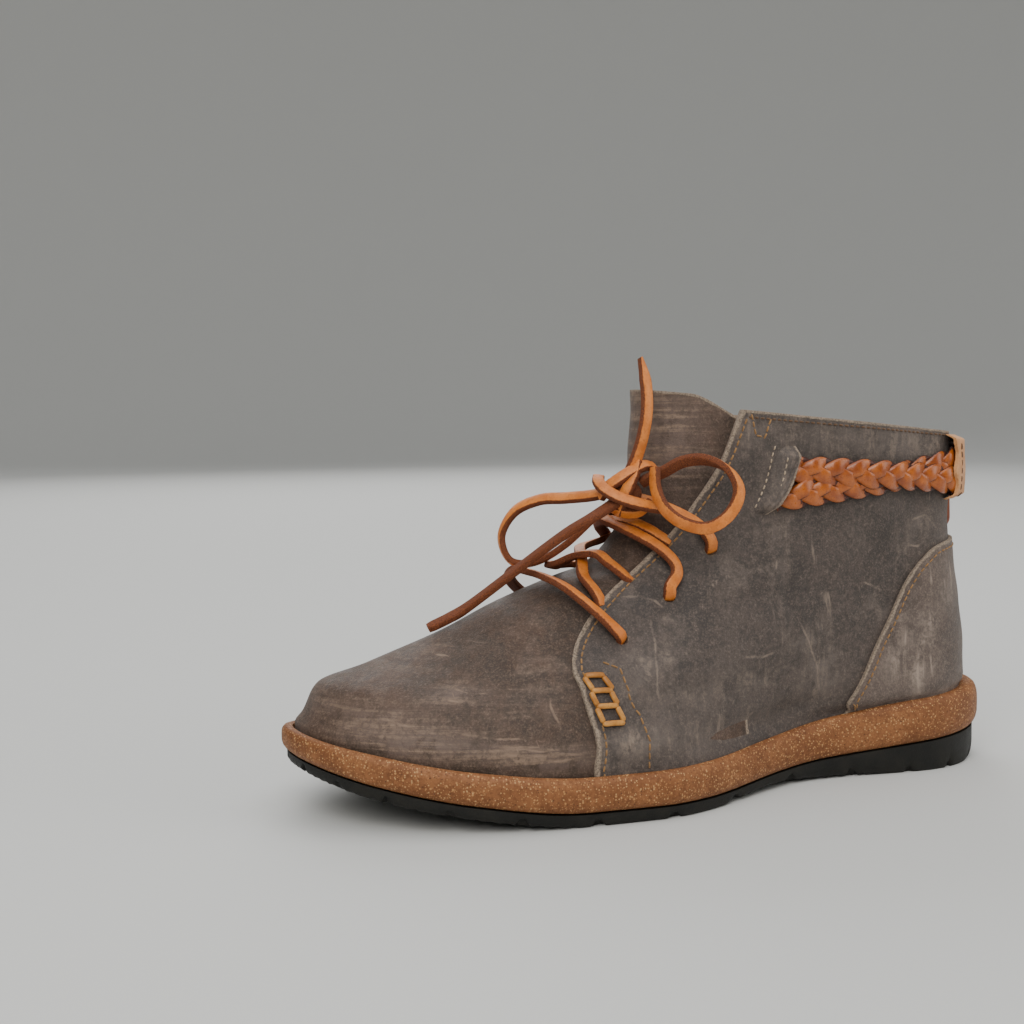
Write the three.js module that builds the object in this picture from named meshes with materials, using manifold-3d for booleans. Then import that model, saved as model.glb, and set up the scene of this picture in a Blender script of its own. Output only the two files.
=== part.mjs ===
// Lace-up ankle boot, the left one of a pair, standing empty on its sole.
// Millimetres, +X to the toe, +Y to the wearer's left (the outer side), +Z up.
import * as THREE from 'three';
import Module from 'manifold-3d';

const wasm = await Module();
wasm.setup();

// Sizes of the whole shoe
const soleLength = 270;
const ballWidth = 100;
const heelWidth = 66;
const collarHeight = 134.5;

// Sole
const heelStack = 29.4;
const rimWidth = 2.6;
const heelLedge = 5;
const edgeRound = 2.4;
const cupDepth = 3.5;
const insoleThickness = 3;
const outsoleInset = 1.8;
const treadChamfer = 1.5;
const notchWidth = 3.2;
const notchDepth = 2;
const notchReach = 5;
const notchSpacing = 21;

// Upper
const vampWall = 2;
const quarterStep = 1.5;
const tongueThickness = 2;
const counterThickness = 1.3;
const strapThickness = 1.5;
const seamStripThickness = 1.2;
const punchedHole = 4.6;
const ladderThickness = 1.3;
const ladderThong = 1.8;

// Braids and laces
const braidWidth = 10;
const braidThickness = 3.4;
const braidPitch = 8.5;
const laceWidth = 4.2;
const laceThickness = 2.4;
const cordDiameter = 3.4;
const knotRadius = 6;

// Clearance between pieces that touch on the real boot, and around the foot of the upper
const gap = 0.3;
const cupGap = 0.5;
const liningGap = 0.8;
const overlayGap = 0.45;

// Monotone cubic through the points (xs, ys)
function smooth(xs, ys) {
  const last = xs.length - 1;
  const slope = [];
  for (let i = 0; i < last; i += 1) {
    slope.push((ys[i + 1] - ys[i]) / (xs[i + 1] - xs[i]));
  }
  const tangent = slope.map((value, i) => {
    const before = slope[i - 1];
    return i === 0 || before * value <= 0 ? 0 : (2 * before * value) / (before + value);
  });
  tangent[0] = slope[0];
  tangent.push(slope[last - 1]);
  return (x) => {
    let i = 0;
    while (i < last - 1 && x > xs[i + 1]) {
      i += 1;
    }
    const width = xs[i + 1] - xs[i];
    const t = THREE.MathUtils.clamp((x - xs[i]) / width, 0, 1);
    const rise = ys[i + 1] - ys[i];
    const start = width * tangent[i];
    const end = width * tangent[i + 1];
    return ys[i] + t * start + t * t * (3 * rise - 2 * start - end) + t * t * t * (start + end - 2 * rise);
  };
}

// One smooth curve for a column of a table
function column(table, at, name) {
  return smooth(table.map((row) => row[at]), table.map((row) => row[name]));
}

// A width that closes as a quarter ellipse of the given length
function closing(distance, round) {
  const rest = 1 - THREE.MathUtils.clamp(distance / round, 0, 1);
  return Math.sqrt(1 - rest * rest);
}

// Side view of the sole: heights as shares of the heel stack, along the length
const soleProfile = [
  { at: 0.00, floor: 0.070, under: 0.476, top: 1.000 },
  { at: 0.06, floor: 0.000, under: 0.440, top: 0.985 },
  { at: 0.15, floor: 0.000, under: 0.378, top: 0.935 },
  { at: 0.28, floor: 0.020, under: 0.275, top: 0.780 },
  { at: 0.38, floor: 0.060, under: 0.205, top: 0.655 },
  { at: 0.50, floor: 0.000, under: 0.155, top: 0.575 },
  { at: 0.66, floor: 0.000, under: 0.160, top: 0.560 },
  { at: 0.80, floor: 0.150, under: 0.310, top: 0.690 },
  { at: 0.92, floor: 0.370, under: 0.530, top: 0.875 },
  { at: 1.00, floor: 0.610, under: 0.735, top: 1.025 },
];
const heightOf = (name) => {
  const curve = column(soleProfile, 'at', name);
  return (x) => heelStack * curve(x / soleLength);
};
const floorLine = heightOf('floor');
const underLine = heightOf('under');
const rimLine = heightOf('top');
const seatLine = (x) => rimLine(x) - cupDepth;

// Plan of the sole: half widths as shares of heel and ball width
const outerPlan = [
  { at: 0.000, heel: 0.50, ball: 0 },
  { at: 0.130, heel: 0.50, ball: 0 },
  { at: 0.290, heel: 0.45, ball: 0 },
  { at: 0.575, heel: 0, ball: 0.537 },
  { at: 1.000, heel: 0, ball: 0.537 },
];
const innerPlan = [
  { at: 0.000, heel: 0.50, ball: 0 },
  { at: 0.130, heel: 0.50, ball: 0 },
  { at: 0.400, heel: 0.455, ball: 0 },
  { at: 0.710, heel: 0, ball: 0.470 },
  { at: 1.000, heel: 0, ball: 0.353 },
];
const planRounds = { heel: 0.545, outerToe: 0.85, innerToe: 0.76 };
const toeDrift = -0.063;

function planHalf(plan) {
  const widths = plan.map((row) => row.heel * heelWidth + row.ball * ballWidth);
  return smooth(plan.map((row) => row.at), widths);
}
const outerHalf = planHalf(outerPlan);
const innerHalf = planHalf(innerPlan);

// How far the centre line has drifted to the inner side at a share of the length
function driftAt(share, total) {
  return total * Math.max(0, (share - 0.45) / 0.55) ** 1.5;
}

// Point of the sole's outline: turn 0 at the heel, 1 at the toe, 2 at the heel again
function outlinePoint(turn) {
  const share = (1 - Math.cos(Math.PI * turn)) / 2;
  const x = soleLength * share;
  const outer = turn % 2 < 1;
  const half = outer ? outerHalf(share) : -innerHalf(share);
  const toeRound = ballWidth * (outer ? planRounds.outerToe : planRounds.innerToe);
  const width = half * closing(x, heelWidth * planRounds.heel) * closing(soleLength - x, toeRound);
  return new THREE.Vector2(x, width + driftAt(share, toeDrift * ballWidth));
}

function insetPoint(turn, inset) {
  const step = 0.004;
  const from = outlinePoint((turn + 2 - step) % 2);
  const to = outlinePoint((turn + step) % 2);
  const along = to.sub(from).normalize();
  const point = outlinePoint((turn + 2) % 2);
  return point.add(new THREE.Vector2(along.y, -along.x).multiplyScalar(inset));
}

// The upper and all that it seats in stand further forward behind the heel, on a ledge of the midsole
function seatPoint(turn, inset) {
  const { x } = outlinePoint((turn + 2) % 2);
  const point = insetPoint(turn, inset);
  point.x += heelLedge * (1 - THREE.MathUtils.smoothstep(x, 0, heelWidth));
  return point;
}

const soleSteps = 34;
function soleRing(inset, height, pointAt = insetPoint) {
  const ring = [];
  for (let i = 0; i < 2 * soleSteps; i += 1) {
    const { x, y } = pointAt((i + 0.5) / soleSteps, inset);
    ring.push(new THREE.Vector3(x, y, height(x)));
  }
  return ring;
}

// Closed skin through rings of equal count, each end zipped across from side to side
function loft(rings) {
  const count = rings[0].length;
  const faces = [];
  for (let ring = 0; ring < rings.length - 1; ring += 1) {
    for (let i = 0; i < count; i += 1) {
      const a = ring * count + i;
      const b = ring * count + ((i + 1) % count);
      faces.push(a, a + count, b + count, a, b + count, b);
    }
  }
  const top = (rings.length - 1) * count;
  for (let i = 0; i < count / 2 - 1; i += 1) {
    const across = count - 1 - i;
    faces.push(i, i + 1, across - 1, i, across - 1, across);
    faces.push(top + i, top + across - 1, top + i + 1, top + i, top + across, top + across - 1);
  }
  const geometry = new THREE.BufferGeometry();
  geometry.setAttribute('position', new THREE.Float32BufferAttribute(rings.flat().flatMap((p) => [p.x, p.y, p.z]), 3));
  geometry.setIndex(faces);
  return geometry;
}

function toSolid(geometry) {
  const vertProperties = new Float32Array(geometry.getAttribute('position').array);
  const triVerts = new Uint32Array(geometry.getIndex().array);
  return new wasm.Manifold(new wasm.Mesh({ numProp: 3, vertProperties, triVerts }));
}

function toGeometry(solid) {
  const mesh = solid.getMesh();
  const geometry = new THREE.BufferGeometry();
  geometry.setAttribute('position', new THREE.BufferAttribute(mesh.vertProperties, 3));
  geometry.setIndex(new THREE.BufferAttribute(mesh.triVerts, 1));
  return geometry;
}

// Sections of the last above the sole. Lengths are shares of the size that each follows:
// back (counted from the heel's ledge) and front of the sole length, their heights of the
// collar's height over the heel stack, heel and waist half widths of the heel width, ball half
// widths, tip rounds and drift of the ball width.
const lastSections = [
  { level: 0.08, back: 0.016, backUp: 0.034, front: 0.973, frontUp: 0.053, heel: 0.447, waistOut: 0.417,
    waistIn: 0.409, ballOut: 0.495, ballIn: 0.430, tipIn: 0.75, heelRound: 0.47, tipRound: 0.78, drift: -0.06 },
  { level: 0.18, back: 0.018, backUp: 0.129, front: 0.952, frontUp: 0.148, heel: 0.439, waistOut: 0.439,
    waistIn: 0.409, ballOut: 0.450, ballIn: 0.400, tipIn: 0.80, heelRound: 0.45, tipRound: 0.80, drift: -0.06 },
  { level: 0.28, back: 0.020, backUp: 0.215, front: 0.889, frontUp: 0.205, heel: 0.417, waistOut: 0.447,
    waistIn: 0.417, ballOut: 0.415, ballIn: 0.380, tipIn: 0.90, heelRound: 0.42, tipRound: 0.88, drift: -0.05 },
  { level: 0.40, back: 0.024, backUp: 0.310, front: 0.793, frontUp: 0.296, heel: 0.394, waistOut: 0.439,
    waistIn: 0.424, ballOut: 0.360, ballIn: 0.340, tipIn: 0.95, heelRound: 0.39, tipRound: 0.88, drift: -0.04 },
  { level: 0.52, back: 0.031, backUp: 0.415, front: 0.700, frontUp: 0.386, heel: 0.379, waistOut: 0.424,
    waistIn: 0.417, ballOut: 0.315, ballIn: 0.310, tipIn: 1.00, heelRound: 0.36, tipRound: 0.75, drift: -0.03 },
  { level: 0.64, back: 0.035, backUp: 0.529, front: 0.607, frontUp: 0.481, heel: 0.364, waistOut: 0.417,
    waistIn: 0.409, ballOut: 0.285, ballIn: 0.280, tipIn: 1.00, heelRound: 0.33, tipRound: 0.60, drift: -0.02 },
  { level: 0.76, back: 0.036, backUp: 0.672, front: 0.548, frontUp: 0.643, heel: 0.348, waistOut: 0.417,
    waistIn: 0.409, ballOut: 0.265, ballIn: 0.265, tipIn: 1.00, heelRound: 0.30, tipRound: 0.48, drift: -0.01 },
  { level: 0.88, back: 0.036, backUp: 0.791, front: 0.524, frontUp: 0.833, heel: 0.348, waistOut: 0.424,
    waistIn: 0.409, ballOut: 0.260, ballIn: 0.260, tipIn: 1.00, heelRound: 0.27, tipRound: 0.42, drift: 0 },
  { level: 1.00, back: 0.038, backUp: 0.908, front: 0.515, frontUp: 1.033, heel: 0.348, waistOut: 0.424,
    waistIn: 0.409, ballOut: 0.260, ballIn: 0.260, tipIn: 1.00, heelRound: 0.27, tipRound: 0.42, drift: 0 },
  { level: 1.10, back: 0.040, backUp: 0.986, front: 0.509, frontUp: 1.166, heel: 0.348, waistOut: 0.424,
    waistIn: 0.409, ballOut: 0.260, ballIn: 0.260, tipIn: 1.00, heelRound: 0.27, tipRound: 0.42, drift: 0 },
];
const upLeg = (share) => heelStack + share * (collarHeight - heelStack);
const featherInset = rimWidth + cupGap + quarterStep;
const rimLevel = 0.04;
const rimClear = 1;
const footLevel = 0.55;

// Point of one section of the last
function sectionPoint(section, turn) {
  const share = (1 - Math.cos(Math.PI * turn)) / 2;
  const outer = turn < 1;
  const back = heelLedge + section.back * soleLength;
  const length = section.front * soleLength - back;
  const x = back + length * share;
  const rise = Math.min(1, section.level / 0.6);
  const waistAt = THREE.MathUtils.lerp(outer ? 0.29 : 0.40, 0.36, rise);
  const ballAt = THREE.MathUtils.lerp(outer ? 0.585 : 0.71, 0.64, rise);
  const heel = section.heel * heelWidth;
  const waist = (outer ? section.waistOut : section.waistIn) * heelWidth;
  const ball = (outer ? section.ballOut : section.ballIn) * ballWidth;
  const tip = outer ? ball : ball * section.tipIn;
  const half = smooth([0, 0.13, waistAt, ballAt, 1], [heel, heel, waist, ball, tip])(share);
  const width = half * closing(x - back, section.heelRound * heelWidth)
    * closing(back + length - x, section.tipRound * ballWidth);
  const follow = Math.max(0, 1 - section.level / footLevel) ** 1.5;
  const straight = THREE.MathUtils.lerp(seatLine(0), seatLine(soleLength), x / soleLength);
  const z = upLeg(THREE.MathUtils.lerp(section.backUp, section.frontUp, share))
    + follow * (seatLine(x) - straight);
  return new THREE.Vector3(x, (outer ? width : -width) + driftAt(share, section.drift * ballWidth), z);
}

// Smooth curve up the last at one turn, through the sole's cup and every section
const railCache = new Map();
function railAt(turn) {
  const key = turn.toFixed(5);
  if (!railCache.has(key)) {
    const foot = seatPoint(turn, featherInset);
    const points = [
      new THREE.Vector3(foot.x, foot.y, seatLine(foot.x) + gap),
      new THREE.Vector3(foot.x, foot.y, rimLine(foot.x) + rimClear),
      ...lastSections.map((section) => sectionPoint(section, turn)),
    ];
    const levels = [0, rimLevel, ...lastSections.map((section) => section.level)];
    const curves = ['x', 'y', 'z'].map((axis) => smooth(levels, points.map((point) => point[axis])));
    railCache.set(key, curves);
  }
  return railCache.get(key);
}

function lastPoint(turn, level) {
  const rail = railAt(((turn % 2) + 2) % 2);
  return new THREE.Vector3(rail[0](level), rail[1](level), rail[2](level));
}

function outward(turn, level) {
  const step = 0.006;
  const along = lastPoint(turn + step, level).sub(lastPoint(turn - step, level));
  const up = lastPoint(turn, level + step).sub(lastPoint(turn, Math.max(0, level - step)));
  return up.cross(along).normalize();
}

// Point at a distance off the last, measured square to it
function offLast(turn, level, offset) {
  return lastPoint(turn, level).addScaledVector(outward(turn, level), offset);
}

function spread(from, to, count) {
  return Array.from({ length: count + 1 }, (_, i) => THREE.MathUtils.lerp(from, to, i / count));
}

// Leather sheet that follows the last between two edges
function sheet({ levels, from, to, columns, inside, outside }) {
  const rings = levels.map((level) => {
    const turns = spread(from(level), to(level), columns);
    const outer = turns.map((turn) => offLast(turn, level, outside));
    const inner = turns.map((turn) => offLast(turn, level, inside)).reverse();
    return [...outer, ...inner];
  });
  return loft(rings);
}

// Front edge of a quarter: the turn at each level, the same on both sides
const quarterEdge = [
  { level: 0.00, turn: 0.600 },
  { level: 0.10, turn: 0.605 },
  { level: 0.18, turn: 0.617 },
  { level: 0.24, turn: 0.637 },
  { level: 0.30, turn: 0.667 },
  { level: 0.39, turn: 0.705 },
  { level: 0.53, turn: 0.750 },
  { level: 0.66, turn: 0.790 },
  { level: 0.72, turn: 0.780 },
  { level: 0.80, turn: 0.755 },
  { level: 0.88, turn: 0.722 },
  { level: 1.00, turn: 0.685 },
];
const edgeTurn = column(quarterEdge, 'level', 'turn');
const mouthLevel = 0.66;
const vampReach = 0.16;
const collarLevel = 1;

const quarterLevels = [0, 0.04, 0.08, 0.13, 0.18, 0.24, 0.3, 0.37, 0.44, 0.52, 0.6, 0.66,
  0.72, 0.8, 0.9, collarLevel];
const quarterColumns = 30;
const vampLevels = [0, 0.04, 0.08, 0.13, 0.18, 0.23, 0.28, 0.34, 0.41, 0.49, 0.58, mouthLevel];

// Lace holes on each side, at their place on the last
const laceHoles = [
  { turn: 0.650, level: 0.387 },
  { turn: 0.650, level: 0.520 },
  { turn: 0.675, level: 0.680 },
];

// Straight round cutter square to the last
function holeCutter(turn, level) {
  const cutter = new THREE.CylinderGeometry(punchedHole / 2, punchedHole / 2, 4 * (vampWall + quarterStep), 10);
  const turned = new THREE.Quaternion().setFromUnitVectors(new THREE.Vector3(0, 1, 0), outward(turn, level));
  cutter.applyQuaternion(turned);
  const at = lastPoint(turn, level);
  cutter.translate(at.x, at.y, at.z);
  return closed(cutter);
}

// Position-only solid of a stock three.js shape
function closed(geometry) {
  const spots = new Map();
  const positions = [];
  const source = geometry.getAttribute('position');
  const index = geometry.getIndex() ? Array.from(geometry.getIndex().array) : [...Array(source.count).keys()];
  const merged = index.map((i) => {
    const point = [source.getX(i), source.getY(i), source.getZ(i)];
    const key = point.map((value) => value.toFixed(4)).join();
    if (!spots.has(key)) {
      spots.set(key, positions.length / 3);
      positions.push(...point);
    }
    return spots.get(key);
  });
  const faces = [];
  for (let i = 0; i < merged.length; i += 3) {
    const [a, b, c] = merged.slice(i, i + 3);
    if (a !== b && b !== c && c !== a) {
      faces.push(a, b, c);
    }
  }
  const solid = new THREE.BufferGeometry();
  solid.setAttribute('position', new THREE.Float32BufferAttribute(positions, 3));
  solid.setIndex(faces);
  return toSolid(solid);
}

function upperSolid() {
  const quarter = sheet({
    levels: quarterLevels,
    from: (level) => -edgeTurn(level),
    to: edgeTurn,
    columns: quarterColumns,
    inside: -vampWall / 2,
    outside: quarterStep,
  });
  const vamp = sheet({
    levels: vampLevels,
    from: (level) => edgeTurn(level) - vampReach,
    to: (level) => 2 - edgeTurn(level) + vampReach,
    columns: 26,
    inside: -vampWall,
    outside: 0,
  });
  let solid = toSolid(quarter).add(toSolid(vamp));
  for (const hole of laceHoles) {
    solid = solid.subtract(holeCutter(hole.turn, hole.level));
    solid = solid.subtract(holeCutter(-hole.turn, hole.level));
  }
  return toGeometry(solid);
}

// Tongue: under the vamp's mouth and both quarters, up past the collar
const tongueFoot = 0.54;
const tongueTop = 1.03;
const tongueTuck = 0.07;
function tongueGeometry() {
  return sheet({
    levels: spread(tongueFoot, tongueTop, 7),
    from: (level) => edgeTurn(Math.min(level, collarLevel)) - tongueTuck,
    to: (level) => 2 - edgeTurn(Math.min(level, collarLevel)) + tongueTuck,
    columns: 10,
    inside: -vampWall - liningGap - tongueThickness,
    outside: -vampWall - liningGap,
  });
}

// Heel counter: its outline from the side, as shares of the sole length and of the collar's
// height over the heel stack, cut out of a sheet that has the quarter's own grid
const counterOutline = [
  { along: 0.270, up: -0.090 },
  { along: 0.242, up: 0.015 },
  { along: 0.212, up: 0.117 },
  { along: 0.188, up: 0.257 },
  { along: 0.160, up: 0.367 },
  { along: 0.125, up: 0.469 },
  { along: 0.095, up: 0.516 },
  { along: -0.100, up: 0.533 },
  { along: -0.100, up: -0.200 },
];
const counterColumns = 9;
const counterLevels = quarterLevels.filter((level) => level >= rimLevel && level < 0.75);
const overQuarter = quarterStep + overlayGap;
const acrossShoe = 2 * ballWidth;

// Straight cutter along Y with an outline given from the side
function sideCutter(outline) {
  const corners = outline.map((row) => new THREE.Vector2(row.along * soleLength, upLeg(row.up)));
  const shape = new THREE.Shape(corners);
  const cutter = new THREE.ExtrudeGeometry(shape, { depth: acrossShoe, bevelEnabled: false });
  cutter.rotateX(Math.PI / 2);
  cutter.translate(0, acrossShoe / 2, 0);
  return closed(cutter);
}

function counterGeometry() {
  const reach = (level) => (edgeTurn(level) * 2 * counterColumns) / quarterColumns;
  const cloth = sheet({
    levels: counterLevels,
    from: (level) => -reach(level),
    to: reach,
    columns: 2 * counterColumns,
    inside: overQuarter,
    outside: overQuarter + counterThickness,
  });
  return toGeometry(toSolid(cloth).intersect(sideCutter(counterOutline)));
}

// Strap over the braid ends at the back, and the strip of seam below it
const strap = { bottom: 0.765, top: 0.985, turn: 0.19 };
const seamStrip = { bottom: 0.65, top: 0.775, turn: 0.035 };
function strapGeometry() {
  const inside = overQuarter + braidThickness + gap;
  return sheet({
    levels: spread(strap.bottom, strap.top, 5),
    from: () => -strap.turn,
    to: () => strap.turn,
    columns: 8,
    inside,
    outside: inside + strapThickness,
  });
}
function seamStripGeometry() {
  return sheet({
    levels: spread(seamStrip.bottom, seamStrip.top, 4),
    from: () => -seamStrip.turn,
    to: () => seamStrip.turn,
    columns: 4,
    inside: overQuarter,
    outside: overQuarter + seamStripThickness,
  });
}

// Braids: plain wall with its strands raised, from the slit in the quarter to the strap. Both
// follow one guide line, and lie beside it by a share of the braid's width that changes along it.
const braidGuide = { startLevel: 0.832, endTurn: 0.06, endLevel: 0.868 };
const braids = [
  { side: 1, startTurn: 0.580, startBeside: 0.47, endBeside: -0.47, sink: 0 },
  { side: 1, startTurn: 0.592, startBeside: -0.47, endBeside: 0.47, sink: 0.25 },
  { side: -1, startTurn: 0.580, startBeside: 0.47, endBeside: 0.47, sink: 0 },
  { side: -1, startTurn: 0.592, startBeside: -0.47, endBeside: -0.47, sink: 0 },
];
const braidColumns = 4;
const stepsPerPitch = 3;
const levelStep = 0.01;

function braidGeometry({ side, startTurn, startBeside, endBeside, sink }) {
  const centre = (share) => ({
    turn: side * THREE.MathUtils.lerp(startTurn, braidGuide.endTurn, share),
    level: THREE.MathUtils.lerp(braidGuide.startLevel, braidGuide.endLevel, share),
    beside: THREE.MathUtils.lerp(startBeside, endBeside, share),
  });
  const start = centre(0);
  const end = centre(1);
  const length = lastPoint(start.turn, start.level).distanceTo(lastPoint(end.turn, end.level));
  const links = Math.round(length / braidPitch);
  const rings = spread(0, 1, links * stepsPerPitch).map((share) => {
    const { turn, level, beside } = centre(share);
    const perLevel = lastPoint(turn, level + levelStep).distanceTo(lastPoint(turn, level)) / levelStep;
    const rise = Math.min(1, share * links);
    const height = (across) => {
      const strand = share * links + (across > 0 ? 0.5 : 0) - 0.45 * Math.abs(across);
      const lump = Math.sqrt(Math.abs(Math.sin(Math.PI * strand)));
      const dome = Math.sqrt(1 - 0.85 * across * across);
      const full = braidThickness * (0.35 + 0.65 * lump * dome) * (0.3 + 0.7 * rise);
      return full * (1 - sink * Math.sin(Math.PI * share));
    };
    const place = (across, offset) => offLast(turn, level + ((across / 2 + beside) * braidWidth) / perLevel, offset);
    const top = spread(-1, 1, braidColumns).map((across) => place(across, overQuarter + height(across)));
    const foot = [1, -1].map((across) => place(across, overQuarter));
    const row = [...top, ...foot];
    return side > 0 ? row.reverse() : row;
  });
  return braidLoft(rings);
}

// Loft of open strips whose ends are flat fans
function braidLoft(rings) {
  const count = rings[0].length;
  const faces = [];
  for (let ring = 0; ring < rings.length - 1; ring += 1) {
    for (let i = 0; i < count; i += 1) {
      const a = ring * count + i;
      const b = ring * count + ((i + 1) % count);
      faces.push(a, b, b + count, a, b + count, a + count);
    }
  }
  const top = (rings.length - 1) * count;
  for (let i = 1; i < count - 1; i += 1) {
    faces.push(0, i + 1, i, top, top + i, top + i + 1);
  }
  const geometry = new THREE.BufferGeometry();
  geometry.setAttribute('position', new THREE.Float32BufferAttribute(rings.flat().flatMap((p) => [p.x, p.y, p.z]), 3));
  geometry.setIndex(faces);
  return geometry;
}

function braidPair(side) {
  const [first, second] = braids.filter((braid) => braid.side === side).map(braidGeometry);
  return toGeometry(toSolid(first).add(toSolid(second)));
}

// Thong ladder on the quarter's front edge: a frame with three windows
const ladder = { bottom: 0.135, top: 0.285, behindEdge: 0.019, halfTurn: 0.0105, windows: 3 };
function ladderGeometry(side) {
  const middle = (level) => edgeTurn(level) - ladder.behindEdge;
  const frame = (bottom, top, half, inside, outside) => toSolid(sheet({
    levels: spread(bottom, top, 2),
    from: (level) => side * middle(level) - half,
    to: (level) => side * middle(level) + half,
    columns: 2,
    inside,
    outside,
  }));
  const under = overQuarter + gap / 2;
  let solid = frame(ladder.bottom, ladder.top, ladder.halfTurn, under, under + ladderThickness);
  const thong = ladderThong / 120;
  const cell = (ladder.top - ladder.bottom - thong) / ladder.windows;
  for (let i = 0; i < ladder.windows; i += 1) {
    const bottom = ladder.bottom + thong + cell * i;
    const window = frame(bottom, bottom + cell - thong, ladder.halfTurn / 2, 0, 2 * overQuarter + ladderThickness);
    solid = solid.subtract(window);
  }
  return toGeometry(solid);
}

// Flat lace along places on the last: turn, level, and how far its underside rises over the
// quarter's leather, as a share of the lace's thickness
function laceStrip(places) {
  const underside = (place) => quarterStep + gap + place.rise * laceThickness;
  const path = new THREE.CatmullRomCurve3(
    places.map((place) => offLast(place.turn, place.level, underside(place) + laceThickness / 2)),
  );
  const ups = new THREE.CatmullRomCurve3(places.map((p) => outward(p.turn, p.level)));
  const steps = places.length * 2 - 2;
  const round = laceThickness / 4;
  const outline = [
    [laceWidth / 2 - round, -laceThickness / 2], [laceWidth / 2, 0], [laceWidth / 2 - round, laceThickness / 2],
    [-laceWidth / 2 + round, laceThickness / 2], [-laceWidth / 2, 0], [-laceWidth / 2 + round, -laceThickness / 2],
  ];
  const rings = spread(0, 1, steps).map((share) => {
    const centre = path.getPoint(share);
    const along = path.getTangent(share);
    const side = along.clone().cross(ups.getPoint(share)).normalize();
    const up = side.clone().cross(along);
    return outline.map(([across, high]) => centre.clone().addScaledVector(side, across).addScaledVector(up, high));
  });
  return loft(rings);
}

const lowBar = [
  { turn: 0.662, level: 0.400, rise: 0.17 },
  { turn: 0.720, level: 0.460, rise: 0.50 },
  { turn: 0.820, level: 0.530, rise: 0.50 },
  { turn: 0.920, level: 0.565, rise: 0.25 },
  { turn: 1.000, level: 0.575, rise: 0.25 },
];
const underCross = [
  { turn: 1.185, level: 0.595, rise: -0.33 },
  { turn: 1.090, level: 0.622, rise: -0.25 },
  { turn: 1.000, level: 0.640, rise: -0.17 },
  { turn: 0.910, level: 0.645, rise: -0.17 },
  { turn: 0.830, level: 0.635, rise: -0.33 },
];
const overCross = [
  { turn: 0.664, level: 0.545, rise: 0.17 },
  { turn: 0.690, level: 0.605, rise: 0.46 },
  { turn: 0.770, level: 0.680, rise: 0.46 },
  { turn: 0.880, level: 0.725, rise: 0.08 },
  { turn: 1.000, level: 0.742, rise: -0.17 },
  { turn: 1.100, level: 0.748, rise: -0.50 },
  { turn: 1.165, level: 0.750, rise: -0.67 },
];
const topBar = [
  { turn: 0.692, level: 0.705, rise: 0.17 },
  { turn: 0.740, level: 0.745, rise: 0.42 },
  { turn: 0.830, level: 0.785, rise: 0.42 },
  { turn: 0.920, level: 0.800, rise: 0.25 },
  { turn: 1.000, level: 0.805, rise: 0.17 },
];
const mirrored = (places) => places.map((place) => ({ ...place, turn: 2 - place.turn }));
const wholeBar = (places) => [...places, ...mirrored(places).reverse().slice(1)];

function crossed(places) {
  return toGeometry(toSolid(laceStrip(places)).add(toSolid(laceStrip(mirrored(places)))));
}

// Round cord along chosen points
function cordGeometry(points) {
  const path = new THREE.CatmullRomCurve3(points.map((p) => new THREE.Vector3(...p).add(knotAt)));
  const section = new THREE.Shape();
  section.absarc(0, 0, cordDiameter / 2, 0, 2 * Math.PI);
  const steps = Math.min(80, Math.ceil(path.getLength() / (2 * cordDiameter)));
  return new THREE.ExtrudeGeometry(section, { extrudePath: path, steps, curveSegments: 4, bevelEnabled: false });
}

// Knot on the top bar, and the free cords as points measured from its centre
const knotPlace = { turn: 0.9, level: 0.8, rise: 0.25 };
const knotLift = quarterStep + 2 * gap + (1 + knotPlace.rise) * laceThickness + knotRadius;
const knotAt = offLast(knotPlace.turn, knotPlace.level, knotLift);
const loopOuterRoute = [
  [-5, 1.4, 3.8], [-11.2, 6.4, 7.5], [-16.6, 11.1, 11.1], [-22.3, 17.2, 11.8], [-27.5, 23.5, 8.5],
  [-29.8, 26.9, 1.5], [-26.1, 27.4, -6.2], [-18.5, 26.2, -10.7], [-11.4, 21.6, -9.1], [-7.4, 15.6, -4.5],
  [-6.4, 10.6, 2.2], [-6.9, 9, 9.4],
];
const loopInnerRoute = [
  [4.8, -4.3, 0.4], [10.1, -9.6, -1], [16.4, -17.1, -2], [23.5, -24.7, -2.9], [30.9, -31.1, -7.4],
  [35.1, -33.9, -16.6], [32.7, -30.2, -25.2], [25.4, -23.5, -25.2], [17, -15.9, -18.7], [9.2, -9, -9.3],
  [3.95, -4.05, -3.4],
];
const endUpRoute = [
  [-0.6, 0.4, 6.4], [-3.3, 2.1, 13.5], [-5.5, 3.2, 22.2], [-7.2, 2, 30.8], [-7.8, -0.7, 39.6], [-7.2, -3.6, 47.3],
];
const endFrontRoute = [
  [5.1, 2.6, -2.8], [13.3, 3.5, -7], [20.9, 0.2, -11.8], [29.3, -4.2, -18.5], [38.5, -9.8, -26.6],
];

// The front end comes down on the vamp: places on the last, and the height of the cord's middle over it
const endFrontRest = [
  { turn: 0.99, level: 0.455, high: 3.6 },
  { turn: 0.995, level: 0.42, high: 2.8 },
  { turn: 1.0, level: 0.385, high: 2.6 },
].map(({ turn, level, high }) => offLast(turn, level, high).sub(knotAt).toArray());

function knotGeometry() {
  const knot = new THREE.IcosahedronGeometry(knotRadius, 1);
  knot.translate(knotAt.x, knotAt.y, knotAt.z);
  return toGeometry(closed(knot));
}

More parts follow.
